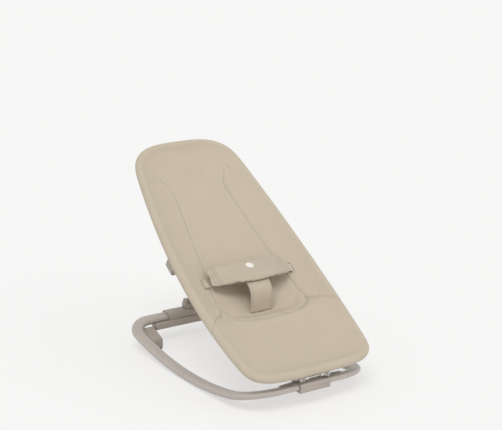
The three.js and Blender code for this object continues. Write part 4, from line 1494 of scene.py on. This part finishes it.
@dataclass
class WaistBelt:
    """Padded banana-shaped belt, its embroidered oval and its end stitching.

    Attributes:
        surface: The seat's surface.
        wardrobe: The materials.
        station: The belt's middle along the seat.
        reach: Half its length.
        upper: Its height above the middle.
        lower: Its depth below the middle.
        taper: How much less that is at its ends.
        rise: The belt's height over the seat at its middle and at its ends.
        tilt: How fast its middle rises towards its lower edge.
        twist: How fast its ends rise towards their upper edge.
        loft: Half the thickness before it is filled.
        floor: How far below its middle face the underside may go.
        swell: How far the filling may move the fabric.
        moments: Frames that the filling takes.
        edge_share: Where the edge's stitched line runs, as a share of the way out.
        end_x: Where the stitched lines cross each end.
        oval: The embroidered oval's half sizes.
        oval_up: How far the oval sits above the belt's middle.
    """

    surface: SeatSurface
    wardrobe: Wardrobe
    station: float = 355.0
    reach: float = 121.0
    upper: float = 43.0
    lower: float = 45.0
    taper: float = 20.0
    rise: tuple[float, float] = (11.0, -8.0)
    tilt: float = 0.28
    twist: float = 0.25
    loft: float = 5.0
    floor: float = 6.3
    swell: float = 5.0
    moments: int = 20
    edge_share: float = 0.9
    end_x: tuple[float, float] = (96.0, 100.5)
    oval: tuple[float, float] = (10.5, 11.0)
    oval_up: float = 11.0

    def outline(self, angle: np.ndarray,
                share: Union[float, np.ndarray]) -> tuple[np.ndarray, np.ndarray]:
        """Places on the belt.

        Args:
            angle: The direction from the belt's middle.
            share: 0 at the middle and 1 at the edge.

        Returns:
            x and s of each place.
        """
        cos, sin = np.cos(angle), np.sin(angle)
        x = share * self.reach * np.sign(cos) * np.abs(cos) ** 0.38
        droop = self.lower - self.taper * (x / self.reach) ** 2
        up = np.where(sin > 0, self.upper, droop)
        return x, self.station + share * up * np.sign(sin) * np.abs(sin) ** 0.4

    def middle_height(self, x: np.ndarray, s: np.ndarray) -> np.ndarray:
        """Height of the belt's middle face over the seat: an arch that leans out at its lower edge.

        Args:
            x: Distances across.
            s: Distances along.

        Returns:
            Heights in millimetres.
        """
        middle, ends = self.rise
        crest = middle - self.tilt * (s - self.station)
        ends = ends + self.twist * np.maximum(s - self.station, -12)
        return crest + (ends - crest) * np.minimum(1, np.abs(x) / self.reach) ** 2.5

    def build(self) -> None:
        """Make the belt and what is sewn on it."""
        pad = self._pillow()
        self._fill(pad)
        self._finish_shape(pad)
        edge = self._ring_line(self.edge_share)
        mark_cloth(pad, self.surface, [edge, *self._end_lines()], 1.1)
        attach(pad, self.wardrobe, Finish.BELT_KNIT, node="waist_belt")
        self._sew(pad)
        self._emblem(pad)

    def _pillow(self) -> bpy.types.Object:
        """Build the unfilled pad.

        Returns:
            The pad, remeshed evenly.
        """
        count = 96
        angle = np.arange(count) / count * 2 * math.pi
        shares = np.concatenate([np.linspace(0.02, 0.9, 12), [0.95, 0.98, 1.0]])
        rows = []
        for face in (1, -1):
            order = shares if face > 0 else shares[::-1][1:]
            for share in order:
                x, s = self.outline(angle, share)
                n = self.middle_height(x, s) + face * self.loft * math.sqrt(max(0.0, 1 - share ** 5))
                rows.append(self.surface.point(x, s, n))
        faces = grid_faces(len(rows), count, True) + end_caps(len(rows), count)
        pad = mesh_piece("waist_belt_pad", np.concatenate(rows), faces)
        remesh = pad.modifiers.new("remesh", "REMESH")
        remesh.mode = "VOXEL"
        remesh.voxel_size = 0.004
        apply_modifiers(pad)
        return pad

    def _fill(self, pad: bpy.types.Object) -> None:
        """Blow the pad up as cloth and keep each point near its start.

        Args:
            pad: The unfilled pad.
        """
        scene = bpy.context.scene
        start = read_points(pad.data)
        cloth = pad.modifiers.new("filling", "CLOTH")
        cloth.settings.use_pressure = True
        cloth.settings.uniform_pressure_force = 4
        cloth.settings.effector_weights.gravity = 0
        cloth.settings.quality = 5
        cloth.point_cache.frame_start = 1
        cloth.point_cache.frame_end = self.moments
        for moment in range(1, self.moments + 1):
            scene.frame_set(moment)
        apply_modifiers(pad)
        scene.frame_set(1)
        moved = read_points(pad.data) - start
        length = np.linalg.norm(moved, axis=1, keepdims=True)
        limit = self.swell * MM
        write_points(pad.data, start + moved * np.minimum(1, limit / np.maximum(length, 1e-9)))

    def _finish_shape(self, pad: bpy.types.Object) -> None:
        """Refine the pad, rest its underside, and sink its stitched lines.

        Args:
            pad: The filled pad.
        """
        refine = pad.modifiers.new("refine", "SUBSURF")
        refine.levels = refine.render_levels = 2
        apply_modifiers(pad)
        place = self.surface.coordinates(to_millimetres(read_points(pad.data)))
        middle = self.middle_height(place[:, 0], place[:, 1])
        height = place[:, 2] - middle
        height = np.where(height < -self.floor + 1.5,
                          -self.floor + 1.5 * np.exp((height + self.floor - 1.5) / 1.5), height)
        near = distance_to_line(place[:, :2], self._ring_line(self.edge_share))
        ends = np.full(len(place), FAR)
        for line in self._end_lines():
            ends = np.minimum(ends, distance_to_line(place[:, :2], line))
        upper = smooth_step(height, 0, 2)
        sunk = 1.0 * np.exp(-(near / 2.2) ** 2) + 0.8 * np.exp(-(ends / 1.6) ** 2)
        height = height - upper * sunk
        height = height + upper * 0.35 * ripple(place[:, 0], place[:, 1], 42, 1.4)
        points = self.surface.point(place[:, 0], place[:, 1], height + middle)
        write_points(pad.data, to_metres(points))
        pad.data.shade_smooth()

    def _ring_line(self, share: float) -> np.ndarray:
        """A line round the belt.

        Args:
            share: The share of the way to its edge.

        Returns:
            x and s of each point.
        """
        angle = np.linspace(0, 2 * math.pi, 121)
        return np.column_stack(self.outline(angle, share))

    def _end_lines(self) -> list[np.ndarray]:
        """Two stitched lines across each end.

        Returns:
            x and s of each line's points.
        """
        run = np.linspace(self.station - 24, self.station + 28, 30)
        return [np.array([[side * x, s] for s in run]) for side in (-1, 1) for x in self.end_x]

    def _sew(self, pad: bpy.types.Object) -> None:
        """Stitches on the belt's upper face.

        Args:
            pad: The finished pad.
        """
        rows = {"belt_edge_thread": self._ring_line(self.edge_share)}
        rows.update({f"belt_end_thread_{i + 1}": line for i, line in enumerate(self._end_lines())})
        for name, line in rows.items():
            flat = even_samples(line, 1.5)
            points = lay_on(pad, self.surface, flat)
            sew_row(self.wardrobe, name, points, self.surface.normal(flat[:, 1]))

    def _emblem(self, pad: bpy.types.Object) -> None:
        """Plain satin-stitched oval.

        Args:
            pad: The finished pad.
        """
        count, shares = 64, np.concatenate([np.linspace(0.03, 0.9, 22), [0.95, 0.98, 1.0]])
        angle = np.arange(count) / count * 2 * math.pi
        x = (shares[:, None] * self.oval[0] * np.cos(angle)[None, :]).ravel()
        s = (shares[:, None] * self.oval[1] * np.sin(angle)[None, :]).ravel()
        s = s + self.station + self.oval_up
        face = self.surface.coordinates(lay_on(pad, self.surface, np.column_stack([x, s])))[:, 2]
        share = np.repeat(shares, count)
        ridge = 0.16 * np.abs(np.sin((x + 0.25 * s) * math.pi / 0.75))
        crown = 0.2 + 0.75 * np.sqrt(np.maximum(0, 1 - share ** 8))
        top = self.surface.point(x, s, face + crown + ridge * (share < 0.97))
        outer = slice(-count, None)
        base = self.surface.point(x[outer], s[outer], face[outer] - 0.3)
        faces = grid_faces(len(shares) + 1, count, True) + end_caps(len(shares) + 1, count)
        oval = mesh_piece("belt_oval_embroidery", np.concatenate([top, base]), faces)
        attach(oval, self.wardrobe, Finish.EMBROIDERY, "belt_emblem")


@dataclass
class Straps:
    """Crotch strap and the two side straps.

    Attributes:
        surface: The seat's surface.
        wardrobe: The materials.
        crotch_width: The crotch strap's width.
        crotch: Its route in s and n.
        side_width: A side strap's width.
        side: The right side strap's route in x and n.
        station: The side straps' place along the seat.
        rows: Where the crotch strap's stitches run, across it.
    """

    surface: SeatSurface
    wardrobe: Wardrobe
    crotch_width: float = 66.0
    crotch: tuple = ((262, -42.7), (267, -34), (277, -14), (290, 3), (303, 9.2), (318, 11.2),
                     (332, 7.4), (346, 3.6))
    side_width: float = 25.0
    side: tuple = ((122.3, -10), (129, -11.3), (134, -14.5), (136, -20), (134.5, -27),
                   (128, -33), (106, -33))
    station: float = 355.0
    rows: tuple[float, ...] = (-30.2, -26.4, 26.4, 30.2)

    def build(self) -> None:
        """Make the three straps."""
        self._crotch_strap()
        for name, side in (("left", -1), ("right", 1)):
            self._side_strap(name, side)

    def _crotch_strap(self) -> None:
        """Wide double-layer strap with stitched edges."""
        route = rounded_line(self.crotch, 1.6)
        centres = self.surface.point(np.zeros(len(route)), route[:, 0], route[:, 1])
        normals = self.surface.normal(route[:, 0])
        half = self.crotch_width / 2
        section = oval_section(half, 1.0, 64, half - 1.2)
        across = section[:, 0]
        rib = 0.18 * np.exp(-((np.abs(across) - (half - 3)) / 2.2) ** 2)
        section = np.column_stack([across, section[:, 1] + np.sign(section[:, 1]) * rib])
        strap = sweep_tube("crotch_strap_webbing", centres, normals, fill_section(section, half),
                           taper=0.985)
        seams = [np.array([[x, 258.0], [x, 348.0]]) for x in self.rows]
        mark_cloth(strap, self.surface, seams, 0.8)
        attach(strap, self.wardrobe, Finish.BELT_KNIT, node="crotch_strap")
        for index, x in enumerate(self.rows):
            points = self.surface.point(np.full(len(route), x), route[:, 0], route[:, 1] + 1.12)
            sew_row(self.wardrobe, f"crotch_thread_{index + 1}", points, normals)

    def _side_strap(self, name: str, side: int) -> None:
        """Webbing from the belt's end through the slot to the slider.

        Args:
            name: Left or right.
            side: 1 for right and -1 for left.
        """
        route = rounded_line(self.side, 1.2)
        stations = np.full(len(route), self.station)
        centres = self.surface.point(side * route[:, 0], stations, route[:, 1])
        _, _, angle = self.surface.frame(np.array(self.station))
        across = np.array([0.0, math.cos(angle), math.sin(angle)])
        along = np.gradient(centres, axis=0)
        along /= np.linalg.norm(along, axis=1, keepdims=True)
        half = self.side_width / 2
        section = fill_section(oval_section(half, 1.0, 48, half - 1.1), half)
        strap = sweep_tube(f"side_strap_webbing_{name}", centres, np.cross(across, along), section,
                           taper=0.97)
        run = np.concatenate([[0], np.cumsum(np.linalg.norm(np.diff(centres, axis=0), axis=1))])
        cloth = np.zeros((len(centres), len(section), 3))
        cloth[:, :, 0] = section[None, :, 0]
        cloth[:, :, 1] = run[:, None]
        store(strap.data, "cloth", cloth.reshape(-1, 3) * MM)
        attach(strap, self.wardrobe, Finish.WEBBING, f"side_strap_{name}")


def fill_section(section: np.ndarray, half_width: float) -> np.ndarray:
    """Add points along a flat section's two long faces.

    Args:
        section: The section, from oval_section.
        half_width: Half its width.

    Returns:
        The section with evenly spaced points along its faces.
    """
    closed = np.vstack([section, section[:1]])
    spacing = half_width / 14
    pieces = []
    for start, end in zip(closed[:-1], closed[1:]):
        steps = max(1, int(np.linalg.norm(end - start) // spacing))
        pieces.append(start + (end - start) * np.linspace(0, 1, steps, endpoint=False)[:, None])
    return np.vstack(pieces)


# --------------------------------------------------------------------------- frame pieces
@dataclass
class BentTubes:
    """The floor loop and the seat's loop, each one bent tube.

    Attributes:
        surface: The seat's surface.
        wardrobe: The materials.
        front_y: The floor loop's front bar.
        rear_y: Its rear bar.
        front_half: Half its width at the front.
        rear_half: Half its width at the rear.
        front_radius: The front corners' radius.
        rear_radius: The rear corners' radius.
        rocker_radius: The curve that it rocks on.
        rocker_y: The curve's lowest place.
        low_z: The tube's centre there.
        section: Half width and half height of the flat-oval tube.
    """

    surface: SeatSurface
    wardrobe: Wardrobe
    front_y: float = -165.9
    rear_y: float = 415.5
    front_half: float = 174.3
    rear_half: float = 194.8
    front_radius: float = 90.9
    rear_radius: float = 54.1
    rocker_radius: float = 938.4
    rocker_y: float = 105.4
    low_z: float = 10.3
    section: tuple[float, float] = (16.0, 8.5)

    def build(self) -> None:
        """Make both tubes."""
        self._floor_loop()
        self._seat_loop()

    @staticmethod
    def _corner(before: np.ndarray, corner: np.ndarray, after: np.ndarray,
                radius: float) -> np.ndarray:
        """A rounded corner between two straight runs.

        Args:
            before: A point on the run before.
            corner: Where the runs would meet.
            after: A point on the run after.
            radius: The bend's radius.

        Returns:
            Points round the bend.
        """
        back = (before - corner) / np.linalg.norm(before - corner)
        ahead = (after - corner) / np.linalg.norm(after - corner)
        half = math.acos(float(back @ ahead)) / 2
        centre = corner + (back + ahead) / np.linalg.norm(back + ahead) * radius / math.sin(half)
        start = corner + back * radius / math.tan(half) - centre
        turns = np.linspace(0, math.pi - 2 * half, 25)
        cos, sin = np.cos(turns), np.sin(turns)
        turned = [start[0] * cos - start[1] * sin, start[0] * sin + start[1] * cos]
        return np.column_stack(turned) + centre

    def _floor_loop(self) -> None:
        """Flat-oval tube bent into a rounded trapezoid whose rails curve up at both ends."""
        front = np.array([self.front_half, self.front_y])
        rear = np.array([self.rear_half, self.rear_y])
        start, end = np.array([0.0, self.front_y]), np.array([0.0, self.rear_y])
        right = np.vstack([[start], self._corner(start, front, rear, self.front_radius),
                           self._corner(front, rear, end, self.rear_radius), [end]])
        right = even_samples(right, 5.0)
        plan = np.vstack([right, right[1:-1][::-1] * np.array([-1, 1])])
        offset = plan[:, 1] - self.rocker_y
        centres = np.column_stack([plan, self.low_z + offset ** 2 / (2 * self.rocker_radius)])
        uprights = np.column_stack([np.zeros(len(plan)), -offset / self.rocker_radius,
                                    np.ones(len(plan))])
        half_width, half_height = self.section
        section = oval_section(half_width, half_height, 48, half_width - half_height)
        tube = sweep_tube("floor_loop_tube", centres, uprights, section, closed=True)
        self._dress(tube, "base", "base_tube")

    def _seat_loop(self) -> None:
        """Round tube inside the cover's edge."""
        rim = self.surface.rim(40, 120)
        place = self.surface.inset(rim, self.surface.rim_outer)
        centres = self.surface.point(place[:, 0], place[:, 1], np.zeros(len(rim)))
        radius = self.surface.tube_radius
        tube = sweep_tube("seat_loop_tube", centres, self.surface.normal(place[:, 1]),
                          oval_section(radius, radius, 32), closed=True)
        self._dress(tube, "seat", "seat_tube")

    def _dress(self, tube: bpy.types.Object, body: str, node: str) -> None:
        """Paint a tube and tie it to its body.

        Args:
            tube: The tube.
            body: The body that it rides on.
            node: The CAD node that it stands for.
        """
        self.wardrobe.dress(tube, Finish.POWDER_COAT)
        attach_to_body(tube, body)
        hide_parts(node)
        LOG.info("%s: %d faces", tube.name, len(tube.data.polygons))


@dataclass
class Hardware:
    """Moulded, rubber and metal pieces: their CAD shapes with rounded edges.

    Attributes:
        wardrobe: The materials.
        edges: Edge radius for each kind of piece, in millimetres.
    """

    wardrobe: Wardrobe
    edges: dict[str, float] = field(default_factory=lambda: {
        "hinge_block": 2.0, "rear_housing": 2.0, "rear_clamp": 1.8, "seat_bracket": 1.2,
        "leg_cradle": 1.2, "crossbar_clamp": 1.6, "leg_knuckle": 0.6, "leg_foot": 1.2,
        "stand_foot": 1.8, "stand_pad": 0.6, "strap_slider": 0.6, "leg_collar": 0.6,
        "release_button": 0.8, "axle_cap": 0.8, "floor_pad": 0.3, "hinge_ear": 0.5})

    def build(self) -> None:
        """Refine or repaint every node that nothing else stands for."""
        bodies = FRAME["record"]["behaviour"]["bodies"]
        home = {node: body for body, nodes in bodies_of(bodies).items() for node in nodes}
        for node, body in home.items():
            self._piece(node, body)

    def _piece(self, node: str, body: str) -> None:
        """Finish one node.

        Args:
            node: The node's name.
            body: The body that it rides on.
        """
        if node in SOFT_OR_BENT:
            return
        finish, slot = self._finish_of(node)
        edge = next((size for start, size in self.edges.items() if node.startswith(start)), 0.0)
        if edge:
            piece = finished_copy(node, f"{node}_finished", edge)
            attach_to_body(piece, body)
        else:
            piece = FRAME["nodes"][node]
        self.wardrobe.dress(piece, finish)
        LOG.info("%s: %s", node, finish.name)

    @staticmethod
    def _finish_of(node: str) -> tuple[Finish, str]:
        """The finish and record slot of a node.

        Args:
            node: The node's name.

        Returns:
            Its finish and its slot.
        """
        if node in ("crossbar", "leg_tube"):
            return Finish.POWDER_COAT, "frame_tube"
        if "_pad" in node:
            return Finish.RUBBER, "rubber"
        if node == "release_button":
            return Finish.PALE_PLASTIC, "pale_plastic"
        if any(word in node for word in ("screw", "pin", "axle", "hinge_ear", "spring", "bolt")):
            return Finish.STEEL, "steel"
        return Finish.TAUPE_PLASTIC, "frame_plastic"


SOFT_OR_BENT = {"seat_cover", "waist_belt", "crotch_strap", "belt_emblem", "side_strap_left",
                "side_strap_right", "base_tube", "seat_tube"}


def bodies_of(bodies: Union[dict, list]) -> dict[str, list[str]]:
    """The nodes of each body.

    Args:
        bodies: The record's bodies.

    Returns:
        A list of nodes for each body's name.
    """
    if isinstance(bodies, dict):
        return bodies
    return {body["name"]: body["nodes"] for body in bodies}


# --------------------------------------------------------------------------- studio
@dataclass
class Studio:
    """Pale floor, soft light and the camera.

    Attributes:
        eye: The camera's place in metres.
        azimuth: Its direction round the object, in degrees.
        elevation: How far it looks down, in degrees.
        lens: Its focal length in millimetres.
        floor_size: Half the floor's side in metres.
        floor_grey: The floor's level.
        paper: The pale colour that the camera sees behind the object.
        paper_share: How much of the floor shows that colour.
        key_light: The key light's strength, width in degrees and lean.
        fill_light: The same for the fill light.
    """

    eye: tuple[float, float, float] = (-1.8195, -2.8844, 1.3625)
    azimuth: float = -32.6
    elevation: float = 15.7
    lens: float = 98.9
    floor_size: float = 30.0
    floor_grey: float = 0.92
    paper: Colour = (0.93, 0.925, 0.92)
    paper_share: float = 0.62
    key_light: tuple[float, float, tuple[float, float]] = (1.17, 30, (-20, -22))
    fill_light: tuple[float, float, tuple[float, float]] = (0.45, 60, (-50, 40))

    def build(self) -> None:
        """Set up the floor, light and camera."""
        scene = bpy.context.scene
        scene.view_settings.view_transform = "Standard"
        self._floor()
        self._sky()
        self._lamp("key_light", *self.key_light)
        self._lamp("fill_light", *self.fill_light)
        self._camera()

    def _floor(self) -> None:
        """A wide pale floor that keeps the object's shadow."""
        size = self.floor_size
        mesh = bpy.data.meshes.new("floor")
        corners = [(-size, -size, 0), (size, -size, 0), (size, size, 0), (-size, size, 0)]
        mesh.from_pydata(corners, [], [(0, 1, 2, 3)])
        floor = bpy.data.objects.new("floor", mesh)
        bpy.context.scene.collection.objects.link(floor)
        graph = ShaderGraph("floor_paper")
        graph.fixed(Base_Color=(self.floor_grey,) * 3, Roughness=0.9, Specular_IOR_Level=0.1)
        seen = graph.node("ShaderNodeLightPath", output="Is Camera Ray")
        gloss = graph.node("ShaderNodeLightPath", output="Is Glossy Ray")
        glow = graph.node("ShaderNodeEmission", None, {"Color": (*self.paper, 1), "Strength": 1.0})
        plain = Socket(graph.tree, graph.shader.outputs[0])
        mix = graph.node("ShaderNodeMixShader", None,
                         {0: seen.larger(gloss) * self.paper_share, 1: plain, 2: glow})
        graph.tree.links.new(mix.socket, graph.tree.nodes["Material Output"].inputs[0])
        mesh.materials.append(graph.material)

    def _sky(self) -> None:
        """Even light from all round, and the background that the camera sees."""
        world = bpy.data.worlds.new("studio")
        bpy.context.scene.world = world
        world.use_nodes = True
        tree = world.node_tree
        light = tree.nodes["Background"]
        light.inputs["Color"].default_value = (1, 0.995, 0.985, 1)
        light.inputs["Strength"].default_value = 0.62
        backdrop = tree.nodes.new("ShaderNodeBackground")
        backdrop.inputs["Color"].default_value = (*self.paper, 1)
        path = tree.nodes.new("ShaderNodeLightPath")
        either = tree.nodes.new("ShaderNodeMath")
        either.operation = "MAXIMUM"
        tree.links.new(path.outputs["Is Camera Ray"], either.inputs[0])
        tree.links.new(path.outputs["Is Glossy Ray"], either.inputs[1])
        mix = tree.nodes.new("ShaderNodeMixShader")
        tree.links.new(either.outputs[0], mix.inputs[0])
        tree.links.new(light.outputs[0], mix.inputs[1])
        tree.links.new(backdrop.outputs[0], mix.inputs[2])
        tree.links.new(mix.outputs[0], tree.nodes["World Output"].inputs[0])

    @staticmethod
    def _lamp(name: str, strength: float, spread: float, lean: tuple[float, float]) -> None:
        """A wide soft sun.

        Args:
            name: The lamp's name.
            strength: Its strength.
            spread: Its width in degrees.
            lean: Its tilt about X and Y in degrees.
        """
        data = bpy.data.lights.new(name, "SUN")
        data.energy = strength
        data.angle = math.radians(spread)
        lamp = bpy.data.objects.new(name, data)
        lamp.rotation_euler = (math.radians(-lean[0]), math.radians(lean[1]), 0)
        bpy.context.scene.collection.objects.link(lamp)

    def _camera(self) -> None:
        """The camera at its place and angle."""
        data = bpy.data.cameras.new("camera")
        data.lens = self.lens
        data.sensor_width = 36
        data.clip_end = 200
        camera = bpy.data.objects.new("camera", data)
        turn, tilt = math.radians(self.azimuth), math.radians(self.elevation)
        level = math.cos(tilt)
        back = Vector((math.sin(turn) * level, -math.cos(turn) * level, math.sin(tilt)))
        right = Vector((math.cos(turn), math.sin(turn), 0))
        up = back.cross(right)
        facing = Matrix((right, up, back)).transposed().to_4x4()
        camera.matrix_world = Matrix.Translation(self.eye) @ facing
        bpy.context.scene.collection.objects.link(camera)
        bpy.context.scene.camera = camera


def main() -> None:
    """Build the bouncer seat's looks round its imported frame."""
    logging.basicConfig(level=logging.INFO, format="%(message)s")
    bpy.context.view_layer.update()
    wardrobe = Wardrobe()
    surface = SeatSurface()
    Studio().build()
    SeatCover(surface, wardrobe).build()
    WaistBelt(surface, wardrobe).build()
    Straps(surface, wardrobe).build()
    BentTubes(surface, wardrobe).build()
    Hardware(wardrobe).build()


if __name__ == "__main__":
    main()
